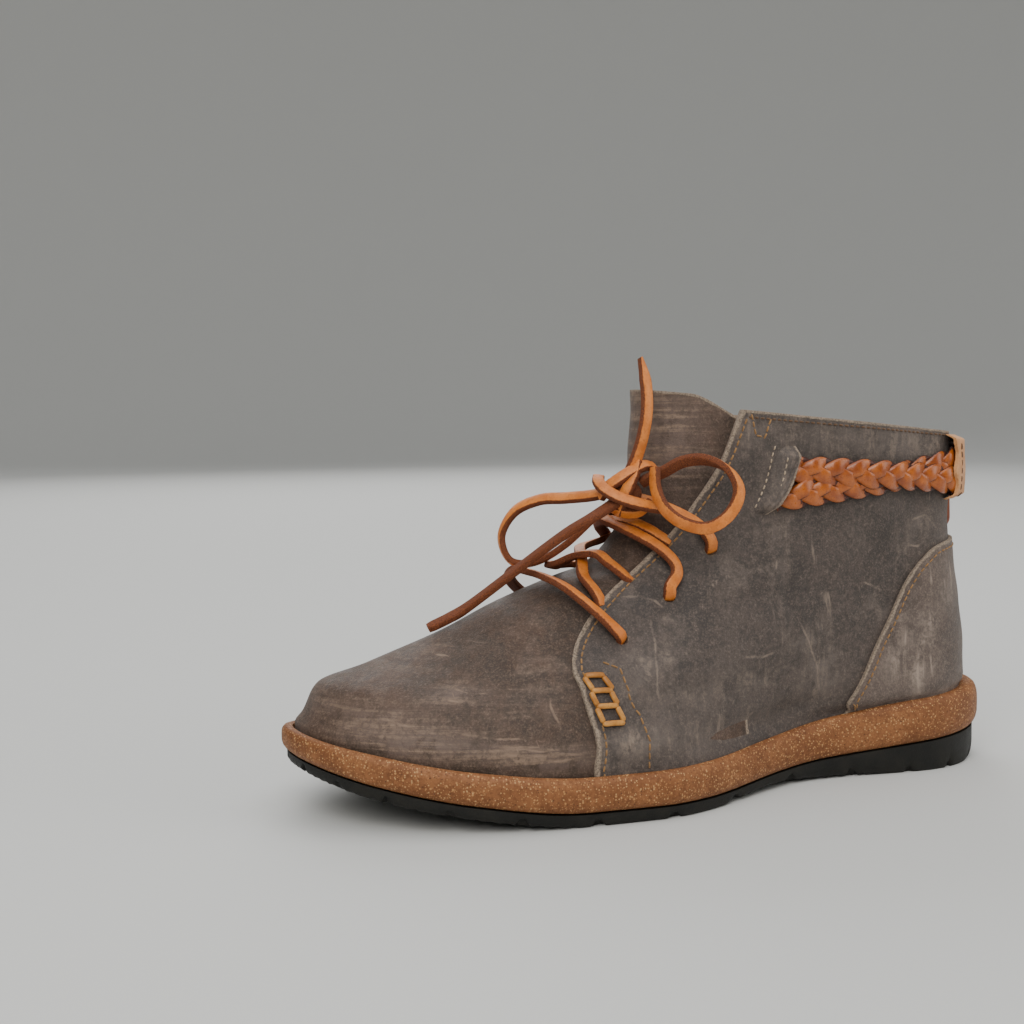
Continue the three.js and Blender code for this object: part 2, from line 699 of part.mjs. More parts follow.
// Sole solids
function midsoleGeometry() {
  const edge = [
    { up: 0.00, inset: 1.00 },
    { up: 0.14, inset: 0.33 },
    { up: 0.38, inset: 0 },
    { up: 0.74, inset: 0 },
    { up: 0.94, inset: 0.21 },
    { up: 1.00, inset: 0.54 },
  ];
  const sideHeight = (up) => (x) => THREE.MathUtils.lerp(underLine(x), rimLine(x), up);
  const rings = edge.map(({ up, inset }) => soleRing(inset * edgeRound, sideHeight(up)));
  rings.push(soleRing(rimWidth, rimLine, seatPoint), soleRing(rimWidth, seatLine, seatPoint));
  return loft(rings);
}

function outsoleGeometry() {
  const top = (x) => underLine(x) - gap;
  const rings = [
    soleRing(outsoleInset + treadChamfer, floorLine),
    soleRing(outsoleInset + treadChamfer / 3, (x) => Math.min(floorLine(x) + treadChamfer, top(x) - 1)),
    soleRing(outsoleInset, top),
  ];
  let solid = toSolid(loft(rings));
  const count = Math.round((2 * soleLength) / notchSpacing / 2) * 2;
  for (let i = 0; i < count; i += 1) {
    const turn = (2 * (i + 0.5)) / count;
    const at = insetPoint(turn, outsoleInset);
    const inside = insetPoint(turn, outsoleInset + notchReach);
    const notch = new THREE.BoxGeometry(2 * notchReach, notchWidth, 4 * notchDepth);
    notch.rotateZ(Math.atan2(inside.y - at.y, inside.x - at.x));
    notch.translate(at.x, at.y, Math.min(floorLine(at.x), floorLine(inside.x)) - notchDepth);
    solid = solid.subtract(closed(notch));
  }
  return toGeometry(solid);
}

function insoleGeometry() {
  const inset = featherInset + vampWall + liningGap;
  const foot = (x) => seatLine(x) + gap;
  return loft([soleRing(inset, foot, seatPoint), soleRing(inset, (x) => foot(x) + insoleThickness, seatPoint)]);
}

const boot = new THREE.Group();
function addPiece(name, geometry, color, roughness) {
  const piece = new THREE.Mesh(geometry, new THREE.MeshStandardMaterial({ color, roughness, metalness: 0 }));
  piece.name = name;
  boot.add(piece);
  return piece;
}

const rubber = 0x24251f;
const cork = 0x8a5c37;
const waxedLeather = 0x4d4640;
const rawLeather = 0xb98a63;
const saddleLeather = 0xa85a2c;
const laceLeather = 0xb9713c;

const solids = [
  addPiece('outsole', outsoleGeometry(), rubber, 0.75),
  addPiece('midsole', midsoleGeometry(), cork, 0.8),
  addPiece('insole', insoleGeometry(), rawLeather, 0.8),
  addPiece('upper', upperSolid(), waxedLeather, 0.7),
  addPiece('tongue', tongueGeometry(), waxedLeather, 0.75),
  addPiece('heel_counter', counterGeometry(), waxedLeather, 0.65),
  addPiece('back_strap', strapGeometry(), rawLeather, 0.7),
  addPiece('back_seam_strip', seamStripGeometry(), saddleLeather, 0.6),
  addPiece('braid_outer', braidPair(1), saddleLeather, 0.4),
  addPiece('braid_inner', braidPair(-1), saddleLeather, 0.4),
  addPiece('side_ladder_outer', ladderGeometry(1), laceLeather, 0.5),
  addPiece('side_ladder_inner', ladderGeometry(-1), laceLeather, 0.5),
  addPiece('lace_low_bar', laceStrip(wholeBar(lowBar)), laceLeather, 0.5),
  addPiece('lace_under_cross', crossed(underCross), laceLeather, 0.5),
  addPiece('lace_over_cross', crossed(overCross), laceLeather, 0.5),
  addPiece('lace_top_bar', laceStrip(wholeBar(topBar)), laceLeather, 0.5),
];
addPiece('lace_knot', knotGeometry(), laceLeather, 0.5);
addPiece('lace_loop_outer', cordGeometry(loopOuterRoute), laceLeather, 0.5);
addPiece('lace_loop_inner', cordGeometry(loopInnerRoute), laceLeather, 0.5);
addPiece('lace_end_up', cordGeometry(endUpRoute), laceLeather, 0.5);
addPiece('lace_end_front', cordGeometry([...endFrontRoute, ...endFrontRest]), laceLeather, 0.5);

// The origin is under the middle of the boot's box, without the free cords
const box = new THREE.Box3();
for (const piece of solids) {
  box.expandByObject(piece, true);
}
boot.position.set(-(box.min.x + box.max.x) / 2, -(box.min.y + box.max.y) / 2, -box.min.z);
boot.updateMatrixWorld(true);

export default boot;
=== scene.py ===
# Lace-up ankle boot, the left one of a pair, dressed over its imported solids
import math
import bpy
import numpy as np
from mathutils import Matrix, Vector


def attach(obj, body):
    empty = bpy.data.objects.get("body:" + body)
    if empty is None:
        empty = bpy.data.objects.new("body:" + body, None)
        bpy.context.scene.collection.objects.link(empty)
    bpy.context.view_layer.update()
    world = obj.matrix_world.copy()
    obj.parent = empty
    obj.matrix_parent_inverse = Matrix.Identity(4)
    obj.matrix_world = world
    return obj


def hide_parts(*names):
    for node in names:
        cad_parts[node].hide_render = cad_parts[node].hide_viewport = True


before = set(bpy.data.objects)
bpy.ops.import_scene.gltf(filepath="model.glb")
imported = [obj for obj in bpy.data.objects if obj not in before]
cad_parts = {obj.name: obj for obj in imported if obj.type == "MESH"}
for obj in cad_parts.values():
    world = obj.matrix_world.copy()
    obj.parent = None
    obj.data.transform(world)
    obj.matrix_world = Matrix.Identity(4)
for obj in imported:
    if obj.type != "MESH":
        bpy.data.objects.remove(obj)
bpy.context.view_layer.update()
print("frame loaded")

# the shoe's own sizes in mm, the same as in the solids
boot = dict(soleLength=270, ballWidth=100, heelWidth=66, collarHeight=134.5, heelStack=29.4,
            rimWidth=2.6, edgeRound=2.4, cupDepth=3.5, outsoleInset=1.8, vampWall=2, quarterStep=1.5,
            cupGap=0.5, gap=0.3, footLevel=0.55, liningGap=0.8, heelLedge=5,
            shift=(-134.533, -2.0268, 0.0))


def smooth(xs, ys):
    # monotone cubic through points, each of them a number or a whole array
    xs = np.asarray(xs, float)
    ys = np.asarray(ys, float)
    slope = np.diff(ys, axis=0) / np.diff(xs).reshape([-1] + [1] * (ys.ndim - 1))
    tangent = np.zeros_like(ys)
    tangent[0] = slope[0]
    tangent[-1] = slope[-1]
    product = slope[:-1] * slope[1:]
    total = np.where(product > 0, slope[:-1] + slope[1:], 1)
    tangent[1:-1] = np.where(product > 0, 2 * product / total, 0)

    def curve(x):
        x = np.asarray(x, float)
        i = np.clip(np.searchsorted(xs, x, side="left") - 1, 0, len(xs) - 2)
        span = xs[i + 1] - xs[i]
        t = np.clip((x - xs[i]) / span, 0, 1)
        if ys.ndim > 1:
            n = np.arange(len(x))
            low, high, start, end = ys[i, n], ys[i + 1, n], tangent[i, n], tangent[i + 1, n]
            span, t = span[:, None], t[:, None]
        else:
            low, high, start, end = ys[i], ys[i + 1], tangent[i], tangent[i + 1]
        rise, start, end = high - low, start * span, end * span
        return low + t * start + t * t * (3 * rise - 2 * start - end) + t ** 3 * (start + end - 2 * rise)
    return curve


def blendStep(x, low, high):
    t = np.clip((np.asarray(x, float) - low) / (high - low), 0, 1)
    return t * t * (3 - 2 * t)


def mixed(a, b, t):
    return a + (b - a) * t


def lengthsAlong(points):
    # distance of every point of a polyline from its first
    return np.concatenate([[0], np.cumsum(np.linalg.norm(np.diff(points, axis=0), axis=1))])


def valuesAt(at, lengths, rows):
    # rows of numbers read at other lengths along a polyline
    return np.stack([np.interp(at, lengths, rows[:, k]) for k in range(rows.shape[1])], -1)


def closing(distance, length):
    # quarter of an ellipse that closes a width towards an end
    rest = 1 - np.clip(distance / length, 0, 1)
    return np.sqrt(1 - rest * rest)


profileAt = [0, .06, .15, .28, .38, .50, .66, .80, .92, 1]
floorShare = smooth(profileAt, [.070, 0, 0, .020, .060, 0, 0, .150, .370, .610])
underShare = smooth(profileAt, [.476, .440, .378, .275, .205, .155, .160, .310, .530, .735])
rimShare = smooth(profileAt, [1, .985, .935, .780, .655, .575, .560, .690, .875, 1.025])
outerHalf = smooth([0, .13, .29, .575, 1], [33, 33, 29.7, 53.7, 53.7])
innerHalf = smooth([0, .13, .40, .71, 1], [33, 33, 30.03, 47.0, 35.3])


def floorLine(x):
    return boot["heelStack"] * floorShare(x / boot["soleLength"])


def underLine(x):
    return boot["heelStack"] * underShare(x / boot["soleLength"])


def rimLine(x):
    return boot["heelStack"] * rimShare(x / boot["soleLength"])


def seatLine(x):
    return rimLine(x) - boot["cupDepth"]


def driftAt(share, total):
    return total * np.maximum(0, (share - .45) / .55) ** 1.5


def outlinePoint(turn):
    # turn is 0 at the heel, 1 at the toe and 2 at the heel again, the outer side first
    turn = np.mod(turn, 2)
    share = (1 - np.cos(np.pi * turn)) / 2
    x = boot["soleLength"] * share
    outer = turn < 1
    half = np.where(outer, outerHalf(share), -innerHalf(share))
    toeRound = np.where(outer, 85, 76)
    width = half * closing(x, 35.97) * closing(boot["soleLength"] - x, toeRound)
    return np.stack([x, width + driftAt(share, -6.3)], -1)


def insetPoint(turn, inset):
    along = outlinePoint(turn + .004) - outlinePoint(turn - .004)
    along /= np.linalg.norm(along, axis=-1, keepdims=True)
    return outlinePoint(turn) + np.stack([along[..., 1], -along[..., 0]], -1) * np.asarray(inset)[..., None]


def seatPoint(turn, inset):
    # the upper and its seat stand further forward behind the heel, on a ledge of the midsole
    forward = boot["heelLedge"] * (1 - blendStep(outlinePoint(turn)[..., 0], 0, boot["heelWidth"]))
    return insetPoint(turn, inset) + np.stack([forward, 0 * forward], -1)


sectionNames = ("level back backUp front frontUp heel waistOut waistIn ballOut ballIn tipIn heelRound "
                "tipRound drift").split()
lastSections = [dict(zip(sectionNames, row)) for row in [
    (.08, .016, .034, .973, .053, .447, .417, .409, .495, .430, .75, .47, .78, -.06),
    (.18, .018, .129, .952, .148, .439, .439, .409, .450, .400, .80, .45, .80, -.06),
    (.28, .020, .215, .889, .205, .417, .447, .417, .415, .380, .90, .42, .88, -.05),
    (.40, .024, .310, .793, .296, .394, .439, .424, .360, .340, .95, .39, .88, -.04),
    (.52, .031, .415, .700, .386, .379, .424, .417, .315, .310, 1.0, .36, .75, -.03),
    (.64, .035, .529, .607, .481, .364, .417, .409, .285, .280, 1.0, .33, .60, -.02),
    (.76, .036, .672, .548, .643, .348, .417, .409, .265, .265, 1.0, .30, .48, -.01),
    (.88, .036, .791, .524, .833, .348, .424, .409, .260, .260, 1.0, .27, .42, 0),
    (1.0, .038, .908, .515, 1.033, .348, .424, .409, .260, .260, 1.0, .27, .42, 0),
    (1.1, .040, .986, .509, 1.166, .348, .424, .409, .260, .260, 1.0, .27, .42, 0)]]


def upLeg(share):
    return boot["heelStack"] + share * (boot["collarHeight"] - boot["heelStack"])


def sectionPoint(s, turn):
    share = (1 - np.cos(np.pi * turn)) / 2
    outer = turn < 1
    back = boot["heelLedge"] + s["back"] * boot["soleLength"]
    length = s["front"] * boot["soleLength"] - back
    x = back + length * share
    rise = min(1, s["level"] / .6)
    heel = s["heel"] * boot["heelWidth"]
    halves = []
    for side, waistAt, ballAt, tip in (("Out", .29, .585, 1), ("In", .40, .71, s["tipIn"])):
        waist = s["waist" + side] * boot["heelWidth"]
        ball = s["ball" + side] * boot["ballWidth"]
        at = [0, .13, mixed(waistAt, .36, rise), mixed(ballAt, .64, rise), 1]
        halves.append(smooth(at, [heel, heel, waist, ball, ball * tip])(share))
    half = np.where(outer, halves[0], -halves[1])
    width = half * closing(x - back, s["heelRound"] * boot["heelWidth"])
    width = width * closing(back + length - x, s["tipRound"] * boot["ballWidth"])
    follow = max(0, 1 - s["level"] / boot["footLevel"]) ** 1.5
    straight = mixed(seatLine(0), seatLine(boot["soleLength"]), x / boot["soleLength"])
    z = upLeg(mixed(s["backUp"], s["frontUp"], share)) + follow * (seatLine(x) - straight)
    return np.stack([x, width + driftAt(share, s["drift"] * boot["ballWidth"]), z], -1)


featherInset = boot["rimWidth"] + boot["cupGap"] + boot["quarterStep"]
railLevels = [0, .04] + [s["level"] for s in lastSections]


def lastPoint(turn, level):
    # points of the last for flat arrays of turns and levels
    turn = np.mod(turn, 2)
    foot = seatPoint(turn, featherInset)
    seat = np.stack([foot[:, 0], foot[:, 1], seatLine(foot[:, 0]) + boot["gap"]], -1)
    rim = np.stack([foot[:, 0], foot[:, 1], rimLine(foot[:, 0]) + 1], -1)
    rows = np.stack([seat, rim] + [sectionPoint(s, turn) for s in lastSections])
    return smooth(railLevels, rows)(level)


def outward(turn, level):
    along = lastPoint(turn + .006, level) - lastPoint(turn - .006, level)
    up = lastPoint(turn, level + .006) - lastPoint(turn, np.maximum(0, level - .006))
    normal = np.cross(up, along)
    return normal / np.linalg.norm(normal, axis=-1, keepdims=True)


def offLast(turn, level, offset):
    # grids or lists of points at an offset off the last, in mm
    turn, level, offset = np.broadcast_arrays(*(np.asarray(v, float) for v in (turn, level, offset)))
    t, l, o = turn.ravel(), level.ravel(), offset.ravel()
    points = lastPoint(t, l) + outward(t, l) * o[:, None]
    return points.reshape(turn.shape + (3,))


edgeTurn = smooth([0, .10, .18, .24, .30, .39, .53, .66, .72, .80, .88, 1],
                  [.600, .605, .617, .637, .667, .705, .750, .790, .780, .755, .722, .685])
laceHoles = [(.650, .387), (.650, .520), (.675, .680)]


# mesh makers
def chooseOnly(*pieces):
    bpy.ops.object.select_all(action="DESELECT")
    for piece in pieces:
        piece.select_set(True)
    bpy.context.view_layer.objects.active = pieces[0]


def meshPiece(name, points, faces, materials, smoothAngle=50, marks=None, faceMaterial=None):
    # marks are named numbers per point that the materials read
    points = (np.asarray(points).reshape(-1, 3) + np.array(boot["shift"])) / 1000
    mesh = bpy.data.meshes.new(name)
    mesh.from_pydata(points.tolist(), [], [list(map(int, f)) for f in faces])
    for key, values in (marks or {}).items():
        layer = mesh.attributes.new(key, "FLOAT", "POINT")
        layer.data.foreach_set("value", np.asarray(values, np.float32).ravel())
    for material in materials:
        mesh.materials.append(material)
    if faceMaterial is not None:
        mesh.polygons.foreach_set("material_index", np.asarray(faceMaterial, np.int32))
    mesh.validate()
    piece = bpy.data.objects.new(name, mesh)
    bpy.context.scene.collection.objects.link(piece)
    chooseOnly(piece)
    bpy.ops.object.shade_smooth_by_angle(angle=math.radians(smoothAngle))
    return piece


def place(piece, *nodes, slot=None):
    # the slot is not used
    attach(piece, "root")
    if nodes:
        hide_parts(*nodes)
    return piece


def wallFaces(rows, cols):
    # closed wall: an outer grid, then an inner grid, rows going up and columns along
    grid = np.arange(rows * cols).reshape(rows, cols)
    a, b, c, d = grid[:-1, :-1], grid[1:, :-1], grid[1:, 1:], grid[:-1, 1:]
    n = rows * cols
    quads = [np.stack([a, b, c, d], -1).reshape(-1, 4), np.stack([a, d, c, b], -1).reshape(-1, 4) + n]
    bottom, top, left, right = grid[0], grid[-1], grid[:, 0], grid[:, -1]
    quads.append(np.stack([bottom[:-1], bottom[1:], bottom[1:] + n, bottom[:-1] + n], -1))
    quads.append(np.stack([top[:-1], top[:-1] + n, top[1:] + n, top[1:]], -1))
    quads.append(np.stack([left[:-1], left[:-1] + n, left[1:] + n, left[1:]], -1))
    quads.append(np.stack([right[:-1], right[1:], right[1:] + n, right[:-1] + n], -1))
    inner = np.concatenate([np.full(len(q), i == 1) for i, q in enumerate(quads)])
    return np.concatenate(quads), inner


def nearest(points, curve):
    # distance of every point to a dense curve
    points = points.reshape(-1, 3)
    found = np.full(len(points), 1e9)
    for start in range(0, len(curve), 64):
        part = curve[start:start + 64]
        found = np.minimum(found, np.sqrt(((points[:, None] - part[None]) ** 2).sum(-1)).min(1))
    return found


cutCorner = .45


def leatherSheet(name, turn, level, inside, outside, materials, bare, worn=None, thin="t"):
    # sheet that follows the last; bare says which of its borders show a cut edge: b t l r
    rows, cols = turn.shape
    middle = offLast(turn, level, outside)
    rims = {"b": middle[0], "t": middle[-1], "l": middle[:, 0], "r": middle[:, -1]}
    cut = np.full(rows * cols, 1e9)
    for key in bare:
        cut = np.minimum(cut, nearest(middle, denser(rims[key], .5)) * (1.7 if key in thin else 1))
    cut = cut.reshape(rows, cols)
    loss = cutCorner * (1 - closing(cut, cutCorner))
    outer = offLast(turn, level, outside - loss)
    inner = offLast(turn, level, inside + loss * .5)
    faces, isInner = wallFaces(rows, cols)
    marks = {"cutEdge": np.concatenate([cut.ravel(), cut.ravel() * .3]).clip(0, 50)}
    if worn:
        for key, values in wearMarks(turn, level, worn).items():
            marks[key] = np.concatenate([values, values * (key != "rub")])
    chosen = isInner.astype(int) if len(materials) > 1 else None
    return meshPiece(name, np.concatenate([outer.reshape(-1, 3), inner.reshape(-1, 3)]), faces, materials,
                     marks=marks, faceMaterial=chosen)


def wearMarks(turn, level, worn):
    # rubbed places (turn, level, half sizes, strength) and single scratches as lines of (turn, level)
    rub = np.zeros(turn.size)
    for t, l, wide, high, strength in worn["rubs"]:
        rub += strength * np.exp(-((turn.ravel() - t) / wide) ** 2 - ((level.ravel() - l) / high) ** 2)
    points = lastPoint(turn.ravel(), level.ravel())
    square = outward(turn.ravel(), level.ravel())
    beside = np.full(turn.size, 9.0)
    near = np.zeros(turn.size)
    for line in worn["scratches"]:
        t, l = dense(line, 80)
        curve = lastPoint(t, l)
        along = directions(curve)
        apart = points[:, None] - curve[None]
        far = np.sqrt((apart ** 2).sum(-1))
        at = far.argmin(1)
        rows = np.arange(len(at))
        far = far[rows, at]
        sign = np.sign((np.cross(square, along[at]) * apart[rows, at]).sum(-1))
        closer = far < np.abs(beside)
        beside = np.where(closer, far * sign, beside)
        fade = (1 - blendStep(far, 2.2, 5)) * np.sin(np.pi * at / 79) ** .35
        near = np.where(closer, fade, near)
    return {"rub": rub, "scratchSide": beside, "scratchNear": near}


def dense(line, count=160):
    # turns and levels closely spaced along a line of (turn, level) points
    line = np.array(line, float)
    lengths = lengthsAlong(line * (1, .5))
    return tuple(valuesAt(np.linspace(0, lengths[-1], count), lengths, line).T)


def denser(curve, step):
    # the same polyline with points at most a step apart
    lengths = lengthsAlong(curve)
    at = np.linspace(0, lengths[-1], max(2, int(lengths[-1] / step) + 1))
    return valuesAt(at, lengths, curve)


def smoothPath(points, count):
    # Catmull-Rom curve through the points, resampled evenly
    p = np.asarray(points, float)
    p = np.concatenate([[2 * p[0] - p[1]], p, [2 * p[-1] - p[-2]]])
    t = np.linspace(0, 1, 24, endpoint=False)[:, None]
    parts = []
    for i in range(1, len(p) - 2):
        a, b, c, d = p[i - 1:i + 3]
        parts.append(.5 * (2 * b + (c - a) * t + (2 * a - 5 * b + 4 * c - d) * t ** 2
                           + (3 * b - a - 3 * c + d) * t ** 3))
    fine = np.concatenate(parts + [p[-2:-1]])
    lengths = lengthsAlong(fine)
    return valuesAt(np.linspace(0, lengths[-1], count), lengths, fine)


def directions(path):
    along = np.gradient(path, axis=0)
    return along / np.linalg.norm(along, axis=1, keepdims=True)


def framed(path, ups):
    # along, side and up at every point of a path
    along = directions(path)
    side = np.cross(along, ups)
    side /= np.linalg.norm(side, axis=1, keepdims=True)
    return along, side, np.cross(side, along)


def ringQuads(rings, count):
    # faces between closed rings of points
    a = np.arange(rings - 1)[:, None] * count + np.arange(count)[None]
    b = np.arange(rings - 1)[:, None] * count + (np.arange(count)[None] + 1) % count
    return np.stack([a, a + count, b + count, b], -1).reshape(-1, 4)


def tubeFaces(rings, count):
    last = (rings - 1) * count
    caps = [list(range(count)), list(range(last + count - 1, last - 1, -1))]
    return ringQuads(rings, count).tolist() + caps


def sweep(path, ups, section, scale=None):
    # rings of a section (across, high) along a path
    along, side, up = framed(path, ups)
    scale = np.ones((len(path), 2)) if scale is None else scale
    rings = (path[:, None] + side[:, None] * section[None, :, :1] * scale[:, None, :1]
             + up[:, None] * section[None, :, 1:] * scale[:, None, 1:])
    return rings.reshape(-1, 3)


def collect(parts):
    # join swept parts: lists of (points, faces, marks)
    points, faces, marks, first = [], [], [], 0
    for p, f, m in parts:
        points.append(p)
        faces += [[i + first for i in face] for face in f]
        marks.append(m)
        first += len(p)
    return np.concatenate(points), faces, np.concatenate(marks)


def sweptPiece(name, parts, material, angle, node):
    # one piece of swept parts that stands for a node of the solids
    points, faces, marks = collect(parts)
    return place(meshPiece(name, points, faces, [material], angle, {"rough": marks}), node)


def roundSection(count, wideBend, highBend):
    # rounded box of half sizes 1 and 1; bends under 1 make its sides flatter
    around = np.linspace(0, 2 * np.pi, count, endpoint=False)
    wide, high = np.cos(around), np.sin(around)
    return np.stack([np.sign(wide) * np.abs(wide) ** wideBend, np.sign(high) * np.abs(high) ** highBend], -1)


def flatSection(width, thickness, c):
    # lace section, counter-clockwise seen against its direction, with how rough each point is
    w, h = width / 2, thickness / 2
    points = [(w - c, -h), (w - .3 * c, -h + .3 * c), (w, -h + c), (w, h - c), (w - .3 * c, h - .3 * c),
              (w - c, h), (0, h + .12), (-w + c, h), (-w + .3 * c, h - .3 * c), (-w, h - c), (-w, -h + c),
              (-w + .3 * c, -h + .3 * c), (-w + c, -h), (0, -h - .05)]
    rough = [1, 1, 1, 1, .6, 0, 0, 0, .6, 1, 1, 1, 1, 1]
    return np.array(points), np.array(rough, float)


def inFrame(points):
    return ((np.asarray(points) + np.array(boot["shift"])) / 1000).tolist()


# camera at the photo's place, soft lights, pale floor
view = dict(place=(.2121, .4649, .1390), azimuth=18.755, elevation=4.507, roll=-.799, lens=49.41)
az, el, roll = (math.radians(view[k]) for k in ("azimuth", "elevation", "roll"))
back = Vector((math.sin(az) * math.cos(el), math.cos(az) * math.cos(el), math.sin(el)))
right = Vector((-math.cos(az), math.sin(az), 0))
up = back.cross(right)
cameraX = math.cos(roll) * right + math.sin(roll) * up
cameraY = math.cos(roll) * up - math.sin(roll) * right
cameraData = bpy.data.cameras.new("camera")
cameraData.lens = view["lens"]
cameraData.sensor_width = 36
cameraData.clip_start = .01
camera = bpy.data.objects.new("camera", cameraData)
turned = Matrix((cameraX, cameraY, back)).transposed().to_4x4()
camera.matrix_world = Matrix.Translation(Vector(view["place"])) @ turned
bpy.context.scene.collection.objects.link(camera)
bpy.context.scene.camera = camera

light = dict(world=(.78, .80, .82), worldStrength=.40,
             lamps=[("windowLight", (.9, 1.5, 1.5), 1.6, 38, (1, .98, .95)),
                    ("skyPanel", (-.2, .2, 2.2), 2.4, 27, (.96, .98, 1)),
                    ("fillPanel", (-1.7, .9, .9), 1.4, 12, (1, .97, .94)),
                    ("backPanel", (-.3, -1.8, 1.3), 1.6, 20, (1, 1, 1))])
world = bpy.data.worlds.new("studio")
world.use_nodes = True
world.node_tree.nodes["Background"].inputs["Color"].default_value = light["world"] + (1,)
world.node_tree.nodes["Background"].inputs["Strength"].default_value = light["worldStrength"]
bpy.context.scene.world = world
for name, spot, size, power, colour in light["lamps"]:
    lampData = bpy.data.lights.new(name, "AREA")
    lampData.size = size
    lampData.energy = power
    lampData.color = colour
    lamp = bpy.data.objects.new(name, lampData)
    lamp.location = spot
    lamp.rotation_euler = (Vector((0, 0, .06)) - Vector(spot)).to_track_quat("-Z", "Y").to_euler()
    bpy.context.scene.collection.objects.link(lamp)
print("camera and lights placed")


# material makers
def node(made, kind, inputs=None, **settings):
    new = made.node_tree.nodes.new("ShaderNode" + kind)
    for key, value in settings.items():
        setattr(new, key, value)
    for key, value in (inputs or {}).items():
        if isinstance(value, bpy.types.NodeSocket):
            made.node_tree.links.new(value, new.inputs[key])
        else:
            new.inputs[key].default_value = value
    return new


def newMaterial(name, **fixed):
    made = bpy.data.materials.new(name)
    made.use_nodes = True
    shader = made.node_tree.nodes["Principled BSDF"]
    for key, value in fixed.items():
        shader.inputs[key].default_value = value
    return made, shader


def objectCoords(made, scale=(1, 1, 1), turn=(0, 0, 0)):
    coords = node(made, "TexCoord").outputs["Object"]
    if scale == (1, 1, 1) and turn == (0, 0, 0):
        return coords
    return node(made, "Mapping", {"Vector": coords, "Scale": scale, "Rotation": turn}).outputs[0]


def noise(made, coords, scale, detail=3, rough=.6, warp=0):
    return node(made, "TexNoise", {"Vector": coords, "Scale": scale, "Detail": detail, "Roughness": rough,
                                   "Distortion": warp}).outputs["Fac"]


def ranged(made, value, low, high, toLow=0, toHigh=1):
    inputs = {"Value": value, "From Min": low, "From Max": high, "To Min": toLow, "To Max": toHigh}
    return node(made, "MapRange", inputs, interpolation_type="SMOOTHSTEP").outputs[0]


def maths(made, operation, a, b, clamp=False):
    return node(made, "Math", {0: a, 1: b}, operation=operation, use_clamp=clamp).outputs[0]


def blended(made, factor, a, b):
    def colour(value):
        return value if isinstance(value, bpy.types.NodeSocket) else tuple(value) + (1,)
    return node(made, "Mix", {0: factor, 6: colour(a), 7: colour(b)}, data_type="RGBA").outputs[2]


def times(made, a, b, clamp=False):
    return maths(made, "MULTIPLY", a, b, clamp)


def plus(made, a, b):
    return maths(made, "ADD", a, b)


def weighted(made, *pairs):
    # sum of values, each with its weight
    total = times(made, *pairs[0])
    for value, weight in pairs[1:]:
        total = plus(made, total, times(made, value, weight))
    return total


def dressed(made, shader, colour, rough, height, distance, strength):
    bump = node(made, "Bump", {"Height": height, "Distance": distance, "Strength": strength}).outputs[0]
    for key, value in (("Base Color", colour), ("Roughness", rough), ("Normal", bump)):
        made.node_tree.links.new(value, shader.inputs[key])
    return made


def mark(made, name):
    return node(made, "Attribute", attribute_name=name).outputs["Fac"]


rawTone = (.235, .180, .132)


def waxedLeather(name, dark, middle, pale, bloom, scuff, streak, amount):
    # waxed nubuck: cloudy colour, fine nap, pale rubbed places and scratches, raw pale cut edges
    made, shader = newMaterial(name, **{"Sheen Weight": .06, "Sheen Roughness": .5,
                                        "Specular IOR Level": .38})
    coords = objectCoords(made)
    cloud = noise(made, coords, 34, 3, .55, .4)
    patch = noise(made, coords, 150, 4, .65)
    mottle = noise(made, coords, 520, 4, .72, .3)
    grain = noise(made, coords, 1500, 3, .75)
    nap = noise(made, coords, 3600, 2, .6)
    tone = weighted(made, (cloud, .4), (patch, .3), (mottle, .3))
    colour = blended(made, ranged(made, tone, .40, .60), dark, middle)
    fleck = times(made, ranged(made, grain, .45, .70), ranged(made, mottle, .3, .7, .1, 1))
    colour = blended(made, times(made, fleck, .55), colour, pale)
    pits = times(made, ranged(made, grain, .50, .30), ranged(made, nap, .35, .6))
    colour = blended(made, times(made, pits, .55), colour, [c * .45 for c in dark])
    scuffed = ranged(made, noise(made, coords, 62, 5, .7, .8), .50, .72, 0, scuff)
    rub = plus(made, mark(made, "rub"), scuffed)
    lines = noise(made, objectCoords(made, streak[0], streak[1]), 1, 4, .7, .3)
    broken = times(made, ranged(made, lines, .42, .66), ranged(made, mottle, .35, .6, .15, 1))
    veil = times(made, times(made, rub, .62), ranged(made, patch, .3, .6, .15, 1))
    colour = blended(made, veil, colour, bloom)
    colour = blended(made, times(made, rub, broken, True), colour, pale)
    lineMask = ranged(made, noise(made, coords, 48, 2), .5, .62, 0, amount)
    colour = blended(made, times(made, ranged(made, lines, .62, .70), lineMask), colour, pale)
    far = maths(made, "ABSOLUTE", mark(made, "scratchSide"), 0)
    far = plus(made, far, ranged(made, mottle, .3, .7, -.25, .25))
    scratch = times(made, ranged(made, far, .08, .58, 1, 0), mark(made, "scratchNear"))
    scratch = times(made, scratch, ranged(made, patch, .38, .58, .12, .62))
    colour = blended(made, scratch, colour, [min(1, c * 1.25) for c in pale])
    fray = plus(made, mark(made, "cutEdge"), ranged(made, patch, .3, .7, -.45, .45))
    edge = ranged(made, fray, 1.0, 1.9, 1, 0)
    bare = blended(made, ranged(made, grain, .35, .65), [c * .72 for c in rawTone],
                   [c * 1.5 for c in rawTone])
    colour = blended(made, times(made, edge, ranged(made, grain, .3, .5, .6, 1)), colour, bare)
    rough = plus(made, ranged(made, patch, .3, .7, .52, .70), times(made, edge, .2))
    height = weighted(made, (patch, .5), (grain, .3), (plus(made, nap, mottle), .16),
                      (times(made, edge, grain), .35), (scratch, -.12))
    return dressed(made, shader, colour, rough, height, .0011, .65)


